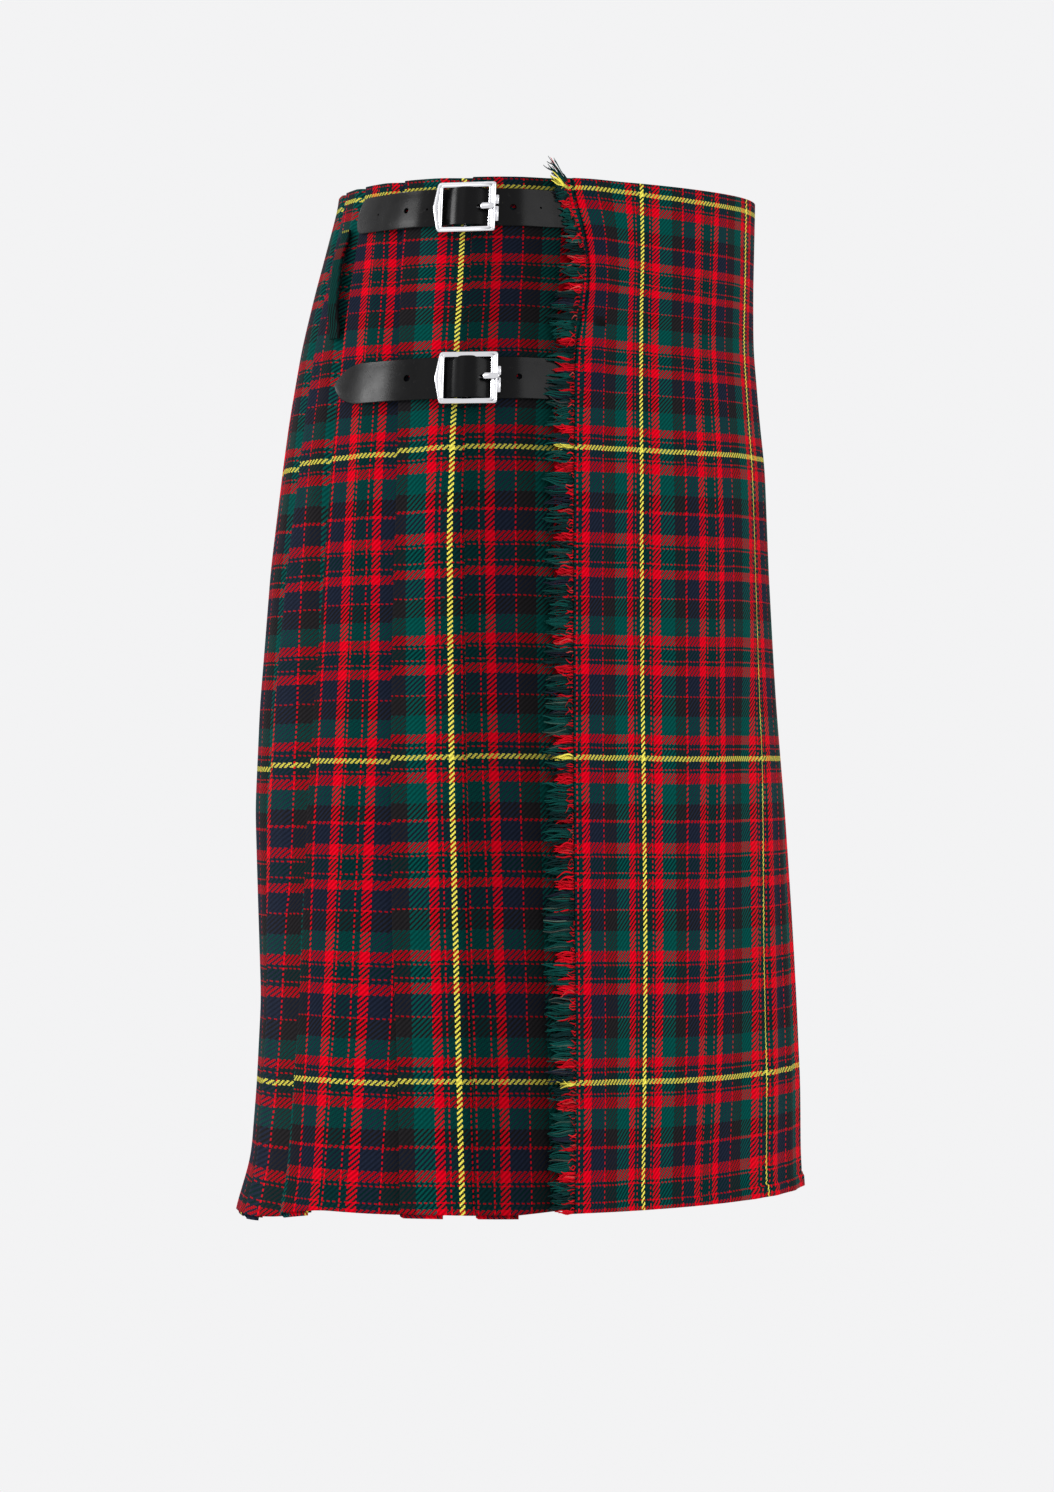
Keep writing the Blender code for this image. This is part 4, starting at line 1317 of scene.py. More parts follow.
@dataclass(frozen=True)
class BrightPlate:
    """Nickel-plated cast metal: polished, with faint casting waves and fine rubs."""

    name: str = "bright_metal"
    colour: Colour = display(226, 226, 229)
    dark: Colour = display(128, 129, 133)  # painted shade in the grooves and on the inner edge
    dull: Colour = display(190, 189, 186)  # spots where the plate is rubbed
    roughness: float = 0.15

    def make(self) -> Finish:
        """Build the material.

        Returns:
            The material.
        """
        graph = Graph(self.name)
        spot = graph.here()
        wave = graph.noise(spot, 260.0, 2.0)
        rub = graph.noise(spot, 3000.0, 3.0, 0.7)
        spots = ((graph.noise(spot, 420.0, 4.0, 0.7) - 0.62) * 5.0).clamped()
        graph.bump(wave * 0.8 + rub * 0.2, 0.06 * MM, 0.35)
        across, upright = graph.weave()
        # painted shade: darker along the groove of the upright bars and on the frame's inner edge
        groove = (1.0 - abs(across - 0.5) * 9.0).clamped() * upright
        inside = ((across - 0.90) * 14.0).clamped() * (upright * 0.5 + 0.5)
        plate = graph.mix(spots * 0.5, self.colour, self.dull)
        roughness = rub * 0.10 + wave * 0.05 + spots * 0.15 + self.roughness - 0.07
        return graph.set(Base_Color=graph.mix((groove + inside).clamped() * 0.8, plate, self.dark),
                         Metallic=1.0, Roughness=roughness)


@dataclass(frozen=True)
class PaintedShadowThread:
    """Black waxed thread, twisted, for the painted shadow beside the apron's edge."""

    name: str = "painted_shadow_thread"
    colour: Colour = display(15, 15, 16)

    def make(self) -> Finish:
        """Build the material.

        Returns:
            The material.
        """
        graph = Graph(self.name)
        spot = graph.here()
        twist = graph.noise(spot, 2400.0, 2.0)
        graph.bump(twist, 0.05 * MM, 0.6)
        return graph.set(Base_Color=graph.bright(self.colour, twist + 0.5), Roughness=twist * 0.2 + 0.6,
                         Specular_IOR_Level=0.06)


@dataclass(frozen=True)
class StudioPaper:
    """The pale floor, fading out at its rim."""

    name: str = "studio_floor"
    radius: float = 1.5
    colour: Colour = display(243, 243, 243)

    def make(self) -> Finish:
        """Build the material.

        Returns:
            The material.
        """
        graph = Graph(self.name)
        length = graph.node("VectorMath", {"operation": "LENGTH"}, {0: graph.here()})
        distance = Value(graph, length.outputs["Value"]) / self.radius
        fade = ((1.0 - distance) * 2.2).clamped()
        grain = graph.noise(graph.here(), 300.0, 2.0)
        return graph.set(Base_Color=graph.bright(self.colour, grain * 0.03 + 0.985),
                         Roughness=0.9, Alpha=fade)


@dataclass(frozen=True)
class Lane:
    """The level line that a strap follows from its root, on the right or the left side."""

    form: SkirtForm
    side: str
    height: float
    root: float
    seat: float  # how far out the cloth lets a strap lie
    buckle: float
    tail: float
    width: float
    fall: float = 0.0  # how much it slopes down towards its tail
    level_at: float = 52.0 * MM

    def distance(self, p: Array | float) -> Array:
        """Arc of a place so far along the strap.

        Args:
            p: distances from its root.

        Returns:
            The arcs.
        """
        if self.side == "right":
            return self.root - np.asarray(p)
        return self.form.front_half(self.height) - self.root - np.asarray(p)

    def points(self, p: Array, out: Array, across: Array | float = 0.0) -> Array:
        """Points beside the lane's line: so far along, out and up.

        Args:
            p: distances from its root.
            out: how far out.
            across: how far up.

        Returns:
            The points.
        """
        arc = self.distance(p)
        upward = self.form.axes(arc, self.height)[1]
        across = np.asarray(across) - self.fall * (np.asarray(p) - self.level_at)
        return self.form.place(arc, self.height, out) + upward * across[..., None]

    def site(self) -> Matrix:
        """Place of the buckle on the surface: x towards the root, y up, z out.

        Returns:
            The place, as a matrix.
        """
        arc = float(self.distance(self.buckle))
        forward, upward, outward = (Vector(axis) for axis in self.form.axes(arc, self.height))
        place = Matrix((forward, upward, outward)).transposed().to_4x4()
        lower = self.fall * (self.buckle - self.level_at)
        place.translation = Vector(self.form.flat(arc, self.height)) - upward * lower
        return place

    def dip(self, p: Array) -> Array:
        """How far the strap sinks onto the under-apron, which lies lower than the pleats.

        Args:
            p: distances from its root.

        Returns:
            How much lower it lies there, as a negative number.
        """
        if self.side != "right":
            return np.zeros_like(p)
        low, high = UNDER_APRON_LEVEL, PLEAT_UNDER - float(self.form.fold(0, self.height))
        return (UNDER_APRON_OUT - PLEAT_TOP) * ease((self.distance(p) - high) / (low - high))


def joined(parts: Sequence[Skin]) -> Skin:
    """Put several meshes' points and faces together as one.

    Args:
        parts: the points and the faces of each.

    Returns:
        All points and all faces.
    """
    points, faces, first = [], [], 0
    for part_points, part_faces in parts:
        points.append(np.asarray(part_points).reshape(-1, 3))
        faces += [[first + k for k in face] for face in part_faces]
        first += len(points[-1])
    return np.concatenate(points), faces


def tube(rings: Array, capped: bool = True) -> Skin:
    """A closed skin through rings of points.

    Args:
        rings: the points by ring, each ring turning about the way that the rings follow.
        capped: close both ends, otherwise the last ring joins the first.

    Returns:
        The points and the faces.
    """
    count, sides = rings.shape[:2]
    faces = grid_faces(count if capped else count + 1, sides, closed=True) % (count * sides)
    caps = [list(range(sides)), list(reversed(range((count - 1) * sides, count * sides)))] if capped else []
    return rings.reshape(-1, 3), faces.tolist() + caps


def closed_piece(name: str, points: Array, faces: list, weave: Array | None = None) -> Piece:
    """Make a closed mesh whose faces look outward.

    Args:
        name: the piece's name.
        points: the vertices, one a row.
        faces: the vertex numbers of each face.
        weave: for each vertex, its two coordinates in the weave map.

    Returns:
        The new object.
    """
    piece = mesh_piece(name, points, faces, weave)
    shape = bmesh.new()
    shape.from_mesh(piece.data)
    bmesh.ops.recalc_face_normals(shape, faces=shape.faces)
    shape.to_mesh(piece.data)
    shape.free()
    return piece


def rod(path: Sequence, side: Array, wide: Sequence[float], high: Sequence[float],
        sides: int = 16) -> Skin:
    """A bar of elliptic section along a path.

    Args:
        path: the points that it follows.
        side: the direction of its width, or one for each point.
        wide: half its width at each point.
        high: half its height there.
        sides: points round it.

    Returns:
        The points and the faces.
    """
    path = np.array(path, float)
    up = np.cross(unit(np.gradient(path, axis=0)), side)
    turn = turns(sides)[None, :, None]
    wide, high = (np.array(size)[:, None, None] for size in (wide, high))
    side = np.broadcast_to(side, path.shape)
    return tube(path[:, None] + side[:, None] * (np.cos(turn) * wide)
                + up[:, None] * (np.sin(turn) * high))


def carve(piece: Piece, cutters: Sequence[Piece]) -> None:
    """Cut some closed shapes out of a piece for good and remove them.

    Args:
        piece: what is cut.
        cutters: the shapes.
    """
    for cutter in cutters:
        change = piece.modifiers.new("cut", "BOOLEAN")
        change.operation = "DIFFERENCE"
        change.object = cutter
        change.solver = "EXACT"
    bpy.context.view_layer.update()
    cut = piece.evaluated_get(bpy.context.evaluated_depsgraph_get())
    mesh = bpy.data.meshes.new_from_object(cut)
    piece.modifiers.clear()
    old = piece.data
    piece.data = mesh
    bpy.data.meshes.remove(old)
    for cutter in cutters:
        bpy.data.objects.remove(cutter)


class Tip(Enum):
    """The ways a strap's tail is cut: how far back it starts, and the two powers of its curve."""

    BLUNT = (0.38, 2.3, 2.2)
    POINTED = (1.05, 2.2, 1.45)

    def share(self, left: Array) -> Array:
        """Part of the full half width, where `left` half widths remain to the end.

        Args:
            left: how much remains.

        Returns:
            The part.
        """
        length, along, across = self.value
        into = np.clip(1 - left / (2 * length), 0, 1)
        return np.clip(1 - into ** along, 0, 1) ** (1 / across)


@dataclass(frozen=True)
class Hole:
    """A round punched hole: how far along the strap, how high above its middle, and its radius, mm."""

    along: float
    up: float
    radius: float


@dataclass
class Strap:
    """A leather strap from its sewn root, over the buckle's bar, to its tail."""

    lane: Lane
    finish: Finish
    name: str
    tip: Tip
    holes: tuple[Hole, ...]
    thickness: float = 1.7 * MM
    RISE = (
        (-60, 1.25), (-30, 1.25), (-22, 1.3), (-15.5, 1.7), (-11, 2.7), (-7, 4.9), (-3.4, 6.5), (0, 6.85),
        (3.4, 6.5), (7, 4.9), (11, 2.9), (15.5, 2.8), (30, 2.8), (64, 1.25), (140, 1.25),
    )
    slot_up: float = -0.6  # of the prong's slot above the strap's middle, mm
    SLOT = (7.6, 11.4, 1.8)  # from, to and half width of that slot, mm
    SLOT_LEVELS = (0.5, 12.0)  # of its cutter above the seat, mm
    PUNCH = ((-3, 0), (0.35, 0), (0.85, 0.22), (1.4, 0.5))  # a punch's levels and how much wider it is
    STEP = 1.7 * MM  # between sections
    TAIL_STEPS = 14  # over the curve of the tail
    SOFTEN, SOFTEN_STEPS = 1.6, 7  # how far its bends are eased, mm
    EDGE = 0.75 * MM  # of the rounded edge
    CROWN = 0.18 * MM  # how much thinner it is beside its edges
    SHARP = 40.0  # degrees

    def rise(self, p: Array) -> Array:
        """Height of the strap's middle above its seat.

        Args:
            p: distances from its root.

        Returns:
            The heights.
        """
        table = np.array(self.RISE) * MM
        past = p - self.lane.buckle
        shifts = np.linspace(-self.SOFTEN, self.SOFTEN, self.SOFTEN_STEPS) * MM
        return sum(np.interp(past + s, table[:, 0], table[:, 1]) for s in shifts) / len(shifts)

    def stations(self) -> Array:
        """Places along the strap, closer together at its tail end.

        Returns:
            The distances from its root.
        """
        lane = self.lane
        end = self.tip.value[0] * lane.width
        body = np.arange(0, lane.tail - end, self.STEP)
        share = np.sin(np.linspace(0, math.pi / 2, self.TAIL_STEPS + 1))
        return np.concatenate([body, lane.tail - end + (end - 0.05 * MM) * share])

    def section(self, half: Array) -> tuple[Array, Array]:
        """The ring round the strap: how far up and how far out of its middle each point lies.

        Args:
            half: half its width at each station.

        Returns:
            Both distances, one row a station.
        """
        lift = self.thickness / 2
        edge = np.minimum(self.EDGE, half * 0.5)[:, None]
        flat = half[:, None] - edge
        face = np.linspace(-1, 1, 9)[None]
        domed = lift - self.CROWN * face ** 4
        turn = np.radians([62, 20, -20, -62])[None]
        up = np.concatenate([face * flat, flat + edge * np.cos(turn), -face * flat,
                             -flat - edge * np.cos(turn)], axis=1)
        level = 0 * flat
        out = np.concatenate([domed + level, lift * 0.9 * np.sin(turn) + level,
                              -lift + 0 * face * flat, -lift * 0.9 * np.sin(turn) + level], axis=1)
        return up, out

    def build(self) -> Piece:
        """Make the strap with its holes.

        Returns:
            The finished piece.
        """
        lane = self.lane
        p = self.stations()
        half = lane.width / 2 * np.maximum(self.tip.share((lane.tail - p) / (lane.width / 2)), 0.02)
        middle = lane.points(p, lane.seat + self.rise(p) + lane.dip(p))
        _, upward, away = lane.form.axes(lane.distance(p), lane.height)
        outward = unit(np.cross(upward, np.gradient(middle, axis=0)))
        outward *= np.sign((outward * away).sum(1))[:, None]
        up, out = self.section(half)
        rings = middle[:, None] + upward[:, None] * up[..., None] + outward[:, None] * out[..., None]
        piece = closed_piece(self.name, *tube(rings))
        carve(piece, [self.punch(hole) for hole in self.holes] + [self.slot()])
        crisp(piece, self.SHARP)
        return dress(piece, self.finish, (self.name,))

    def punch(self, hole: Hole) -> Piece:
        """A round cutter, wider at the face of the strap.

        Args:
            hole: what it punches.

        Returns:
            The cutter.
        """
        p = hole.along * MM
        level = self.lane.seat + float(self.rise(np.array([p]))[0] + self.lane.dip(np.array([p]))[0])
        turn = turns(24)
        rings = []
        for out, grow in self.PUNCH:
            radius = (hole.radius + grow) * MM
            rings.append(self.lane.points(p + radius * np.cos(turn), np.full(len(turn), level + out * MM),
                                          hole.up * MM + radius * np.sin(turn)))
        return closed_piece(self.name + "_punch", *tube(np.array(rings)))

    def slot(self) -> Piece:
        """The long cutter for the prong's slot.

        Returns:
            The cutter.
        """
        start, end, half = (v * MM for v in self.SLOT)
        turn = turns(32)
        x = np.where(np.cos(turn) > 0, end - half, start + half) + half * np.cos(turn)
        y = self.slot_up * MM + half * np.sin(turn)
        place = self.lane.site()
        rings = [[place @ Vector((a, b, self.lane.seat + level * MM)) for a, b in zip(x, y)]
                 for level in self.SLOT_LEVELS]
        return closed_piece(self.name + "_slot", *tube(np.array(rings)))


def crisp(piece: Piece, degrees: float) -> None:
    """Shade smooth, but keep edges sharper than an angle."""
    piece.data.shade_smooth()
    piece.data.set_sharp_from_angle(angle=math.radians(degrees))


def rounded_loop(corners: Sequence[Point], radius: float, side_steps: int) -> Array:
    """A closed outline with rounded corners and a fixed count of points.

    Args:
        corners: its corners, in order.
        radius: how far each corner's curve reaches along its sides.
        side_steps: points along each side between the curves.

    Returns:
        The points.
    """
    corners = [np.array(corner, float) for corner in corners]
    curves = []
    for index, here in enumerate(corners):
        before, after = corners[index - 1], corners[(index + 1) % len(corners)]
        start, end = (here + unit(other - here) * radius for other in (before, after))
        share = np.linspace(0, 1, CORNER_STEPS + 1)[:, None]
        curves.append(start * (1 - share) ** 2 + here * 2 * share * (1 - share) + end * share ** 2)
    points = []
    for index, curve in enumerate(curves):
        after = curves[(index + 1) % len(curves)]
        share = np.linspace(0, 1, side_steps + 2)[1:-1, None]
        points += [curve, curve[-1] * (1 - share) + after[0] * share]
    return np.concatenate(points)


@dataclass
class Buckle:
    """A cast double-bar frame whose rear bar is drawn to a shallow point; sizes in millimetres."""

    lane: Lane
    finish: Finish
    name: str
    prong_name: str
    outer: tuple[float, float] = (19.6, 15.4)  # half its length and half its height
    inner: tuple[float, float, float] = (-13.8, 15.0, 12.0)  # rear, front and half height inside
    point: float = 2.6
    up: float = -0.7  # its middle above the strap's
    prong_up: float = 0.1
    prong_end: float = 19.6
    THICK = 2.6
    LIFT = 4.0
    SEAT = 3.4  # of the centre bar's middle above the seat
    PROFILE = (
        (0.0, -0.30, 0), (0.0, 0.10, 0), (0.04, 0.34, 0), (0.14, 0.47, 0), (0.30, 0.50, 0),
        (0.42, 0.47, 0.6), (0.50, 0.45, 1), (0.58, 0.47, 0.6), (0.70, 0.50, 0), (0.86, 0.46, 0),
        (0.96, 0.30, 0), (1.0, 0.08, 0), (1.0, -0.30, 0), (0.88, -0.48, 0), (0.12, -0.48, 0),
    )
    GROOVE = 0.20
    OUTER_CORNER, INNER_CORNER, SIDE_STEPS = 2.2, 1.0, 9
    BULGE = 0.6  # of the rear bar's point past its ends
    BAR_INSET = 1.2  # of the centre bar's ends in the frame's sides
    LUGS = ((1.4, 7.1), (-9.2, 0.1))  # from and to, on the front bar
    LUG_END = 0.35  # length of a lug's taper
    PLAIN = (0.25, 0.0)  # place in the weave map of metal without a groove
    EYE = ((1.12, -1.2), (1.95, -1.2), (2.1, -0.9), (2.1, 0.9), (1.95, 1.2), (1.12, 1.2))  # radius and side
    SHARP = 50.0  # degrees

    def frame_skin(self) -> tuple[Array, list, Array]:
        """The frame in its own axes, with the place across the bar and how upright the bar stands.

        Returns:
            The points, the faces and, for each point, that place and that share.
        """
        length, height = self.outer
        rear, front, inside = self.inner
        corner = -length + self.point
        outer = rounded_loop([(length, -height), (length, height), (corner, height),
                              (-length - self.BULGE, 0.0), (corner, -height)],
                             self.OUTER_CORNER, self.SIDE_STEPS)
        inner = rounded_loop([(front, -inside), (front, inside), (rear, inside), (rear, 0.0),
                              (rear, -inside)], self.INNER_CORNER, self.SIDE_STEPS)
        upright = ease((np.abs((outer[:, 0] + inner[:, 0]) / 2) / length - 0.72) / 0.12)
        rings = []
        for (x0, y0), (x1, y1), groove in zip(outer, inner, upright):
            ring = [(x0 + (x1 - x0) * t, y0 + (y1 - y0) * t,
                     (z - self.GROOVE * cut * groove) * self.THICK) for t, z, cut in self.PROFILE]
            rings.append(ring)
        marks = [[(place, side) for place, _, _ in self.PROFILE] for side in upright]
        return *tube(np.array(rings), capped=False), np.array(marks).reshape(-1, 2)

    def build(self) -> list[Piece]:
        """Make the frame with its centre bar and lugs, and the prong.

        Returns:
            The frame and the prong.
        """
        lift = self.LIFT + self.THICK / 2
        bar_z = self.SEAT - lift
        length, height = self.outer
        reach = height - self.BAR_INSET
        bar = rod([(0, -reach, bar_z), (0, 0, bar_z), (0, reach, bar_z)], X_AXIS, [1.0] * 3, [1.0] * 3)
        lugs = []
        for low, high in self.LUGS:
            ends = [low, low + self.LUG_END, high - self.LUG_END, high]
            lugs.append(rod([(length + 0.7, y, -0.35) for y in ends], X_AXIS,
                            [0.75, 1.15, 1.15, 0.75], [0.5, 0.8, 0.8, 0.5]))
        *skin, grooves = self.frame_skin()
        return [self.placed(self.name, *joined([skin, bar, *lugs]), lift, grooves), self.prong()]

    def placed(self, name: str, points: Array, faces: list, lift: float,
               grooves: Array | None = None) -> Piece:
        """Put a mesh, in millimetres, at the buckle's site.

        Args:
            name: the piece's name.
            points: its vertices.
            faces: its faces.
            lift: how far above the strap's seat its middle lies.
            grooves: the weave map's coordinates of its first vertices.

        Returns:
            The finished piece.
        """
        site = self.lane.site() @ Matrix.Translation((0, self.up * MM, self.lane.seat + lift * MM))
        turned = np.array(site.to_3x3())
        places = np.asarray(points) * MM @ turned.T + np.array(site.translation)
        marks = np.full((len(places), 2), self.PLAIN)
        if grooves is not None:
            marks[:len(grooves)] = grooves
        piece = closed_piece(name, places, faces, marks)
        crisp(piece, self.SHARP)
        return dress(piece, self.finish, (name,))

    def prong(self) -> Piece:
        """The prong: an eye round the centre bar and a flattened needle across the front bar.

        Returns:
            The finished piece.
        """
        sections = [[(radius * math.cos(a), side, radius * math.sin(a)) for a in turns(28)]
                    for radius, side in self.EYE]
        eye = tube(np.array(sections), capped=False)
        top = self.LIFT + self.THICK + 0.88 - self.SEAT
        up, end = self.prong_up, self.prong_end
        path = [(1.6, 0, 0.3), (3.2, up * 0.4, 0.05), (5.0, up * 0.8, -0.2), (7.5, up, -0.4), (9.0, up, -0.2),
                (9.9, up, 1.1), (10.5, up, 2.7), (11.2, up, 3.75), (12.3, up, top), (15.6, up, top),
                (17.8, up, top), (end - 0.9, up, top - 0.05), (end - 0.3, up, top - 0.12),
                (end, up, top - 0.2)]
        wide = [0.9, 1.0, 1.1, 1.3, 1.5, 1.75, 1.95, 2.0, 2.0, 1.9, 1.7, 1.35, 0.9, 0.3]
        high = [0.8, 0.8, 0.8, 0.8, 0.8, 0.8, 0.8, 0.82, 0.85, 0.85, 0.82, 0.7, 0.5, 0.18]
        points, faces = joined([eye, rod(path, Y_AXIS, wide, high)])
        return self.placed(self.prong_name, points, faces, self.SEAT)


@dataclass
class BeltLoop:
    """A folded strip of the tartan, sewn down at both ends and standing off between them."""

    form: SkirtForm
    finish: Finish
    name: str
    mirrored: bool
    TOP, BOTTOM = -7.0 * MM, -76.0 * MM
    TOP_BEHIND, BOTTOM_BEHIND = 107.0 * MM, 114.0 * MM  # behind the centre
    WIDTH = 12.4 * MM
    THICKNESS = 1.5 * MM
    ROWS = 33
    STAND = 3.0 * MM  # how far it stands off, and how it does along its length, in hundredths
    STAND_TRACK = ((0, 10, 18, 30, 70, 82, 90, 100), (0, 0, 0.6, 1, 1, 0.6, 0, 0))
    ACROSS = (-1, -0.5, 0, 0.5, 1, 1.07, 1.07, 1, 0.5, 0, -0.5, -1, -1.07, -1.07)  # its section
    PROUD = (1, 1.1, 1.12, 1.1, 1, 0.55, -0.55, -1, -1, -1, -1, -1, -0.55, 0.55)
    SHARP = 60.0  # degrees
    WARP = 26.5  # where its edge lies in the warp's chart
    WEFT = ((0, 0.03, 0.19, 0.29, 1), (0.6, 2.7, 15.5, 26, 60))  # shares of its length and the weft's chart

    def build(self) -> Piece:
        """Make the loop.

        Returns:
            The finished piece.
        """
        form = self.form
        top = -form.arc_behind(self.TOP_BEHIND, self.TOP)
        low = -form.arc_behind(self.BOTTOM_BEHIND, self.BOTTOM)
        share = np.linspace(0, 1, self.ROWS)
        stand = np.interp(share * 100, *self.STAND_TRACK)
        stand = np.convolve(np.pad(stand, 1, "edge"), [0.25, 0.5, 0.25], "valid")
        height = self.TOP + (self.BOTTOM - self.TOP) * share
        behind = top + (low - top) * share
        lay = SEAT_PLEATS + 0.35 * MM + self.THICKNESS / 2
        half, lift = self.WIDTH / 2, self.THICKNESS / 2
        across, proud = np.array(self.ACROSS) * half, np.array(self.PROUD) * lift
        arc = -behind[:, None] + across[None]
        out = (lay + self.STAND * stand)[:, None] + proud[None]
        rings = form.place(arc, np.broadcast_to(height[:, None], arc.shape), out)
        if self.mirrored:
            rings[..., 0] *= -1
        points, faces = tube(rings)
        warp = (self.WARP + (across + half) / WarpChart.SCALE) / Sett.REPEAT
        weft = np.interp(share, *self.WEFT) / Sett.REPEAT
        weave = np.stack(np.broadcast_arrays(warp[None], weft[:, None]), axis=-1).reshape(-1, 2)
        piece = closed_piece(self.name, points, faces, weave)
        crisp(piece, self.SHARP)
        return dress(piece, self.finish, (self.name,))


@dataclass(frozen=True)
class Ends:
    """One layer of the fringe's loose ends; lengths are shares of the way to the tips."""

    name: str
    seed: int
    spacing: float
    radius: float
    level: float  # how far out the roots lie
    bold: float  # length where the broad red and yellow lines run out
    plain: float  # length between them
    stub_colour: bool  # the ends between them are picks of the red edge stripe
    reach: float = 1.0  # share of the edge that it covers, from the top
    replaces: tuple[str, ...] = ()


@dataclass
class Gather:
    """A layer's ends, gathered in tufts, and the random numbers that set them apart."""

    random: np.random.Generator
    tuft: Array  # the tuft of each end
    count: int  # of the tufts

    @classmethod
    def of(cls, random: np.random.Generator, ends: int) -> "Gather":
        """Gather so many ends two to four together.

        Args:
            random: the layer's random numbers.
            ends: how many ends there are.

        Returns:
            The gathered ends.
        """
        tuft = np.repeat(np.arange(ends), random.integers(2, 5, ends))[:ends]
        return cls(random, tuft, int(tuft[-1]) + 1)

    def each(self, low: float, high: float) -> Array:
        """A number from low to high for each tuft, in a column with a row for each end."""
        return self.random.uniform(low, high, self.count)[self.tuft, None]

    def normal(self, middle: float, between: float, within: float) -> Array:
        """Draw a normal number for each end.

        Args:
            middle: their mean.
            between: how far the tufts lie apart.
            within: how far a tuft's own ends lie apart.

        Returns:
            The numbers.
        """
        tufts = self.random.normal(middle, between, self.count)[self.tuft]
        return tufts + self.random.normal(0, within, len(self.tuft))

    def middle(self, values: Array) -> Array:
        """For each end the mean of its tuft."""
        sums = np.bincount(self.tuft, values, self.count)
        return (sums / np.bincount(self.tuft, minlength=self.count))[self.tuft]


@dataclass
class Fringe:
    """The apron's fringed edge: a strip of the weave, two layers of loose ends and a tuft at the waist."""

    form: SkirtForm
    cloth: Finish
    yarn: Finish
    SHORT = Ends("fringe", 11, 1.25 * MM, 0.52 * MM, 2.7 * MM, 0.52, 0.22, True,
                 replaces=("fringe",))
    LONG = Ends("fringe_under", 23, 0.72 * MM, 0.50 * MM, 1.7 * MM, 0.64, 0.95, False)
    TUFT = Ends("fringe_tuft", 31, 0.30 * MM, 0.50 * MM, 2.4 * MM, 0.95, 0.8, False, 0.024)
    SEGMENTS = 9
    SIDES = 5
    TOP_RISE = 17.0 * MM  # of the ends at the waist, which stand up from here
    TOP_FROM, TOP_OVER = 9.0 * MM, 8.0 * MM
    ROWS, COLUMNS = 130, 6  # of the strip
    STRIP_OUT, STRIP_THICKNESS = 1.15 * MM, 0.45 * MM
    STRIP_BEFORE, STRIP_PAST = 0.4 * MM, 1.5 * MM  # past the ends' roots and past the apron's edge
    SUNK = 0.6 * MM  # how far the ends start inside the strip
    STUBS = (0.2, 0.75, 1.0, 1.3)  # the lengths that short ends may have
    THIN = 0.78  # radius of a short end, as a share
    # Places in the chart from which ends take a colour
    RED_UNIT, GREEN_UNIT, FOREST_UNIT, NAVY_UNIT = 17.0, 28.0, 4.5, 66.0

    def build(self) -> list[Piece]:
        """Make the strip, both layers and the tuft."""
        return [self.heading(), *(self.layer(ends) for ends in (self.SHORT, self.LONG, self.TUFT))]

    def heading(self) -> Piece:
        """The strip that shows between the loose ends and the apron's edge.

        Returns:
            The finished piece.
        """
        height = TOP_SIDE + (HEM_FRONT - TOP_SIDE) * np.linspace(0, 1, self.ROWS)
        base, edge = EDGE.at("base", height), EDGE.at("edge", height)
        share = np.linspace(0, 1, self.COLUMNS)[None]
        width = edge - base + (self.STRIP_BEFORE + self.STRIP_PAST)
        arc = (base - self.STRIP_BEFORE)[:, None] + width[:, None] * share
        level = np.broadcast_to(height[:, None], arc.shape)
        points = self.form.place(arc, level, np.full(arc.shape, self.STRIP_OUT))
        weave = np.stack([OverApron.CHART.phase(arc, level), self.rows_at(arc, level)], axis=-1)
        piece = mesh_piece("fringe_heading", points.reshape(-1, 3), grid_faces(*arc.shape),
                           weave.reshape(-1, 2))
        thicken(piece, self.STRIP_THICKNESS)
        return dress(piece, self.cloth)

    @staticmethod
    def rows_at(arc: Array, height: Array) -> Array:
        """Repeats of the weft's chart beside the apron's edge."""
        return WEFT_LINES.at("repeat", height + OverApron.DROP.at(arc / MM, height))

    def layer(self, ends: Ends) -> Piece:
        """One layer of ends, gathered in uneven loops of two to four.

        Args:
            ends: what the layer is like.

        Returns:
            The piece.
        """
        random = np.random.default_rng(ends.seed)
        covered = (TOP_SIDE - HEM_FRONT) * ends.reach
        count = int(covered / ends.spacing)
        root = TOP_SIDE - covered * (np.arange(count) + 0.5) / count
        root = root + random.normal(0, 0.16, count) * ends.spacing
        weft = self.rows_at(EDGE.at("base", root), root)
        bold = np.isin(Sett.name_at(weft), ("RED", "YELLOW"))
        gather = Gather.of(random, count)
        plain = ends.plain * (random.choice(self.STUBS, count) if ends.stub_colour else 1.0)
        share = np.linspace(0, 1, self.SEGMENTS + 1)[None]
        arc, height, out = self.paths(ends, gather, root, np.where(bold, ends.bold, plain), share)
        path = self.form.place(arc, height, out)
        _, upward, outward = self.form.axes(arc, height)
        turn = turns(self.SIDES) + 0.4
        radius = ends.radius * np.where(bold | (not ends.stub_colour), 1.0, self.THIN)
        taper = (radius[:, None] * (1.0 - 0.5 * share ** 4))[..., None, None]
        rings = path[:, :, None] + taper * (np.cos(turn)[:, None] * upward[:, :, None]
                                            + np.sin(turn)[:, None] * outward[:, :, None])
        per = (self.SEGMENTS + 1) * self.SIDES
        faces = grid_faces(self.SEGMENTS + 1, self.SIDES, closed=True)
        faces = (faces[None] + per * np.arange(count)[:, None, None]).reshape(-1, 4)
        weft = self.coloured(ends, weft, bold, gather)
        number = (np.arange(count)[:, None] + 0.98 * share)[..., None]
        weave = np.stack(np.broadcast_arrays(number, weft[:, None, None]), axis=-1)
        weave = np.broadcast_to(weave, (count, self.SEGMENTS + 1, self.SIDES, 2)).reshape(-1, 2)
        piece = mesh_piece(ends.name, rings.reshape(-1, 3), faces, weave)
        return dress(piece, self.yarn, ends.replaces)

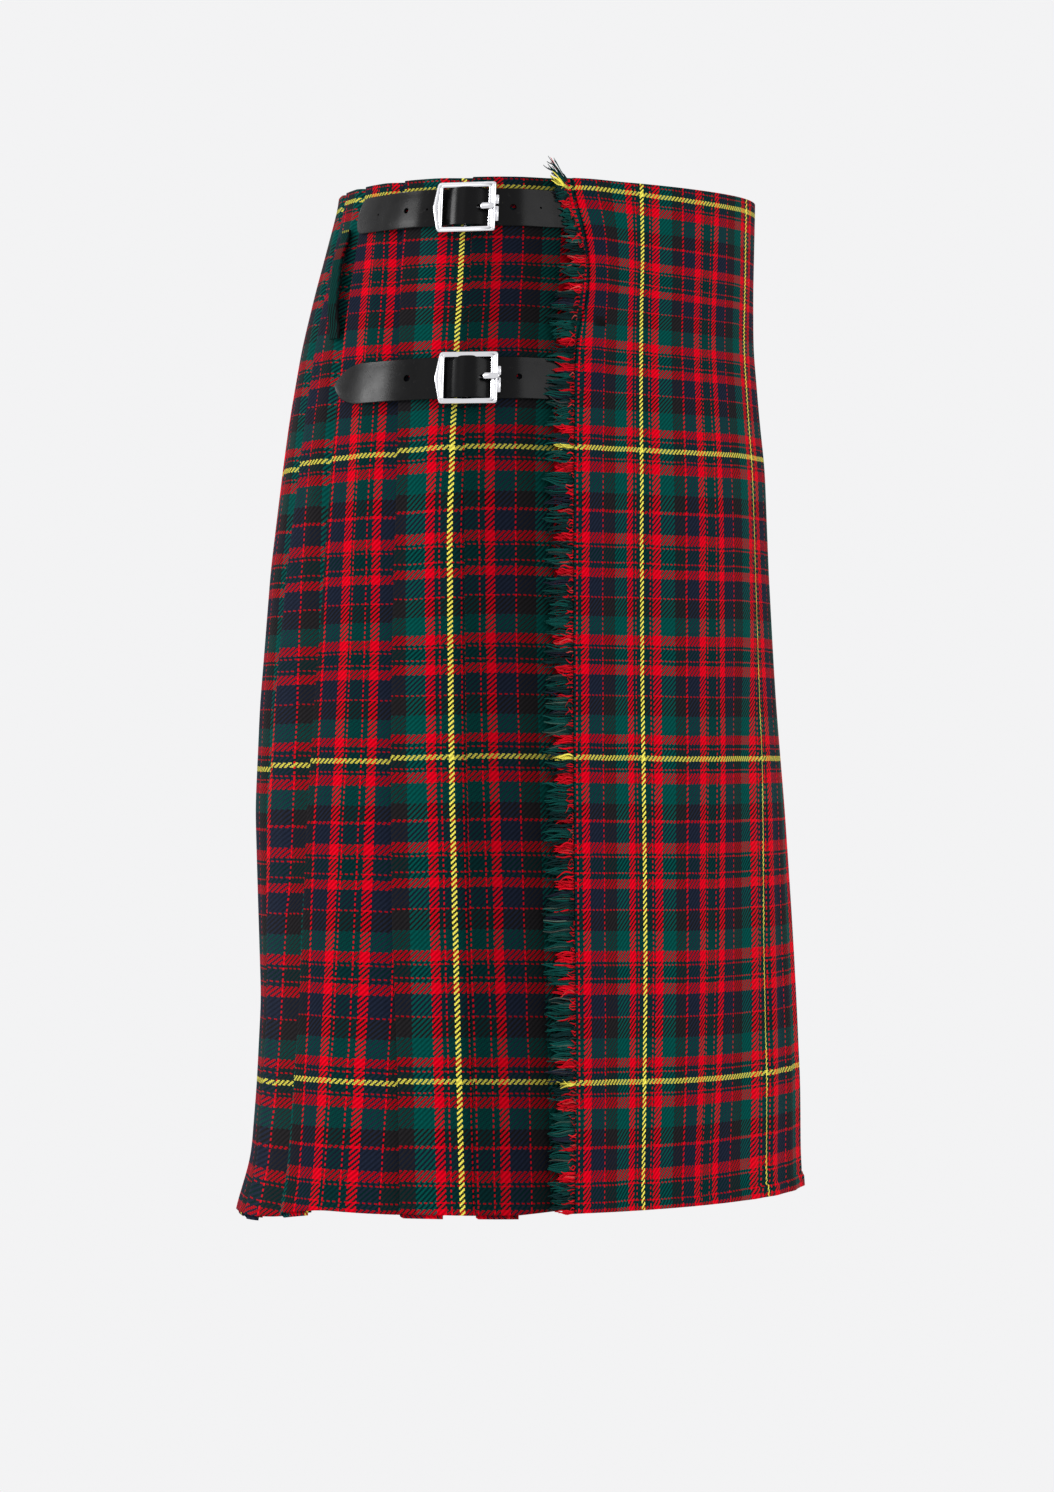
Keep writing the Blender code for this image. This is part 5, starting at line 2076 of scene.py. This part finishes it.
    def paths(self, ends: Ends, gather: Gather, root: Array, size: Array,
              share: Array) -> tuple[Array, Array, Array]:
        """Lay each end out from its root to its tip.

        Args:
            ends: what the layer is like.
            gather: its ends, gathered in tufts.
            root: the height of each end's root.
            size: its length, as a share of the way to the tips.
            share: places along an end, in a row.

        Returns:
            The arc, the height and the level of each place, one row an end.
        """
        tall = size[:, None]
        length = size * gather.normal(1, 0.09, 0.05)
        sag = gather.normal(-0.3, 0.9, 0.3) * MM * size
        start, tip = EDGE.at("base", root)[:, None] + self.SUNK, EDGE.at("tip", root)[:, None]
        arc = start - (start - tip) * length[:, None] * share
        aside = (gather.middle(root) - root)[:, None]
        lean = aside * gather.each(0.5, 1.1) * share ** 1.5
        lean = lean - aside * gather.each(0.3, 1.6) * np.sin(share * math.pi)
        swing = gather.each(0.3, 1.1) * MM
        swing = swing * np.sin(gather.each(0, 2 * math.pi) + share * 6.5) * share ** 0.6
        stands = ease((root - self.TOP_FROM) / self.TOP_OVER)
        rise = self.TOP_RISE * (stands * gather.random.uniform(0.5, 1.05, len(root)))[:, None]
        height = (root[:, None] + lean + sag[:, None] * share ** 1.6 + swing * tall ** 0.5
                  + rise * share ** 1.3 * tall)
        bulge = gather.each(0.2, 1.3) * MM * np.sin(share * math.pi * 0.85)
        stray = gather.random.normal(0, 0.25, len(root))[:, None] * MM * share
        return arc, height, ends.level + bulge + stray - 0.5 * MM * share

    def coloured(self, ends: Ends, weft: Array, bold: Array, gather: Gather) -> Array:
        """Choose the repeat from which each end takes its colour.

        Args:
            ends: what the layer is like.
            weft: the repeats at the roots.
            bold: which ends run out of a broad line.
            gather: the ends, gathered in tufts.

        Returns:
            The repeats that the finish reads.
        """
        draw = gather.each(0, 1)[:, 0]
        spread = gather.random.uniform(0, 1, len(weft))
        if ends.stub_colour:
            other = np.where(spread < 0.6, self.RED_UNIT + 8 * spread, self.FOREST_UNIT + 5 * spread)
            return np.where(bold, weft, other / Sett.REPEAT)
        green = np.isin(Sett.name_at(weft), ("GREEN",)) | (draw < 0.42)
        other = np.where(green, self.GREEN_UNIT + 14 * spread, self.FOREST_UNIT + 5 * spread)
        other = np.where(draw > 0.88, self.NAVY_UNIT + 16 * spread, other)
        return np.where(bold, weft, other / Sett.REPEAT)


@dataclass
class PaintedShadowTack:
    """Dark thread rows beside the apron's edge, put there as painted shadow: short rows of thread laid on the
    work.
    """

    form: SkirtForm
    finish: Finish
    name: str = "painted_shadow_tack"
    ROWS, TOP, PITCH = 12, -65.6, 0.52  # count, first height and spacing, mm
    FROM, TO = 54.6, 64.8  # arcs, mm
    RADIUS = 0.32 * MM
    ACROSS = (0.31, 0.27, 0.91)  # any direction that is off the threads' own

    def build(self) -> Piece:
        """Sew the rows.

        Returns:
            The finished piece.
        """
        threads = []
        for row in range(self.ROWS):
            height = (self.TOP - self.PITCH * row) * MM
            arc = np.linspace(self.FROM, self.TO, 6) * MM
            out = 2.2 * MM - (arc - 56 * MM) * 0.05 + 0.45 * MM * np.sin(np.linspace(0.3, 2.9, 6))
            line = self.form.place(arc, np.full(6, height), out + 0.55 * MM)
            side = unit(np.cross(unit(np.gradient(line, axis=0)), self.ACROSS))
            threads.append(rod(line, side, [self.RADIUS] * 6, [self.RADIUS] * 6, 6))
        return dress(mesh_piece(self.name, *joined(threads)), self.finish)


@dataclass(frozen=True)
class Lamp:
    """A soft square light; metres and watts."""

    name: str
    place: tuple[float, float, float]
    aim: tuple[float, float, float]
    size: float
    power: float

    def hang(self) -> None:
        """Put it in the scene."""
        light = bpy.data.lights.new(self.name, "AREA")
        light.shape = "SQUARE"
        light.size = self.size
        light.energy = self.power
        holder = bpy.data.objects.new(self.name, light)
        holder.location = self.place
        holder.rotation_euler = (Vector(self.aim) - Vector(self.place)).to_track_quat("-Z", "Y").to_euler()
        bpy.context.scene.collection.objects.link(holder)


@dataclass
class Studio:
    """The camera, the soft lights and the pale floor."""

    floor_height: float = -1.05
    eye: tuple[float, float, float] = (-3.4, -0.0025, -0.3265)
    lens: float = 128.7
    FAR = 30.0  # how far the camera sees
    SKY = (0.896, 0.896, 0.904, 1)
    LAMPS = (
        Lamp("key", (-2.0, 1.9, 1.3), (0, 0, -0.25), 1.4, 4),
        Lamp("front", (-2.2, -2.2, 0.7), (0, 0, -0.3), 1.4, 22),
        Lamp("far", (2.4, 0.6, 1.2), (0, 0, -0.3), 1.6, 12),
        Lamp("tail", (-0.24, 2.7, 0.6), (-0.15, 0.1, -0.1), 0.6, 26),
        Lamp("tips", (1.5, 2.6, 0.3), (-0.1, 0.1, -0.1), 0.8, 7),
    )
    FLOOR_RINGS = (0.002, 0.3, 0.7, 1.1, 1.5)

    def build(self) -> None:
        """Set everything up."""
        scene = bpy.context.scene
        camera = bpy.data.cameras.new("camera")
        camera.lens = self.lens
        camera.clip_end = self.FAR
        holder = bpy.data.objects.new("camera", camera)
        holder.location = self.eye
        holder.rotation_euler = (math.pi / 2, 0, -math.pi / 2)
        scene.collection.objects.link(holder)
        scene.camera = holder
        scene.view_settings.view_transform = "Standard"
        world = bpy.data.worlds.new("studio")
        world.use_nodes = True
        sky = world.node_tree.nodes["Background"].inputs
        sky["Color"].default_value = self.SKY
        sky["Strength"].default_value = 1.0
        scene.world = world
        for lamp in self.LAMPS:
            lamp.hang()
        turn = turns(96)
        rings = [np.stack([radius * np.cos(turn), radius * np.sin(turn),
                           np.full(len(turn), self.floor_height)], axis=-1) for radius in self.FLOOR_RINGS]
        faces = grid_faces(len(rings), len(turn), closed=True)[:, ::-1]
        floor = mesh_piece("floor", np.array(rings).reshape(-1, 3), faces)
        floor.data.materials.append(StudioPaper().make())
        log.info("stage %s, %d lamps and the camera", floor.name, len(self.LAMPS))


def dress_chapes() -> None:
    """Give the loops of leather round the buckles' bars their finish."""
    leather = StrapLeather("chape_leather", roughness=0.45).make()
    for side in ("upper", "lower", "left"):
        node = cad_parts["chape_" + side]
        for slot in node.material_slots:
            slot.material = leather
        log.info("node %s keeps its shape, finish %s", node.name, leather.name)


def main() -> None:
    """Build the kilt, panel by panel, and its straps and buckles."""
    logging.basicConfig(level=logging.INFO, format="%(name)s: %(message)s")
    Studio().build()
    form = SkirtForm()
    cloth = TartanCloth().make()
    # painted shade: the under-apron darker as a whole and in a band beside the apron's edge, the belt loops
    # darker as a whole
    shadow_painted_cloth = TartanCloth("tartan_twill_painted_shadow", painted_shade_tone=0.64, painted_shadow_band=(8 * MM, -32 * MM, 0.42)).make()
    shade_painted_cloth = TartanCloth("tartan_twill_painted_shade", painted_shade_tone=0.45).make()
    fringe = Fringe(form, cloth, FringeYarn().make()).build()
    OverApron(form, cloth, "over_apron", ("under_apron",), "hung", OverApron.CHART,
              tuple(part.name for part in fringe), APRON_CREASES, OverApron.DROP).build()
    UnderApron(form, shadow_painted_cloth, "under_apron", ("pleat_01",), "hung", UnderApron.CHART,
               lift=Pleating.LIFT).build()
    Pleating(form, cloth).build()

    leather = StrapLeather().make()
    plate = BrightPlate().make()
    upper = Lane(form, "right", 0.0, 52 * MM, SEAT_PLEATS, 73.5 * MM, 165.2 * MM, 23.2 * MM)
    lower = Lane(form, "right", -104.6 * MM, 52 * MM, SEAT_PLEATS, 72.9 * MM, 172 * MM, 25.8 * MM, 0.012)
    left = Lane(form, "left", 0.0, 41.2 * MM, SEAT_APRON, 55 * MM, 128 * MM, 22.8 * MM)
    Strap(upper, leather, "strap_upper", Tip.BLUNT, (
        Hole(46.2, -0.2, 1.75), Hole(29, 0.2, 0.45), Hole(98, -0.8, 0.5), Hole(113.8, -0.6, 1.6),
        Hole(140.5, -0.9, 0.5))).build()
    Strap(lower, leather, "strap_lower", Tip.POINTED, (
        Hole(42.6, 0.6, 1.6), Hole(110.4, 0.7, 1.9)), slot_up=-0.5).build()
    Strap(left, leather, "strap_left", Tip.BLUNT, (
        Hole(27, 0.0, 1.5), Hole(88, 0.0, 1.5), Hole(108, 0.0, 1.5))).build()
    Buckle(upper, plate, "buckle_upper", "prong_upper").build()
    Buckle(lower, plate, "buckle_lower", "prong_lower", outer=(19.2, 16.1),
           inner=(-13.6, 14.8, 12.6), prong_up=0.7, prong_end=20.6).build()
    Buckle(left, plate, "buckle_left", "prong_left").build()
    dress_chapes()
    BeltLoop(form, shade_painted_cloth, "belt_loop_right", False).build()
    BeltLoop(form, shade_painted_cloth, "belt_loop_left", True).build()
    # painted shadow: dark thread rows beside the apron's edge
    PaintedShadowTack(form, PaintedShadowThread().make()).build()


if __name__ == "__main__":
    main()
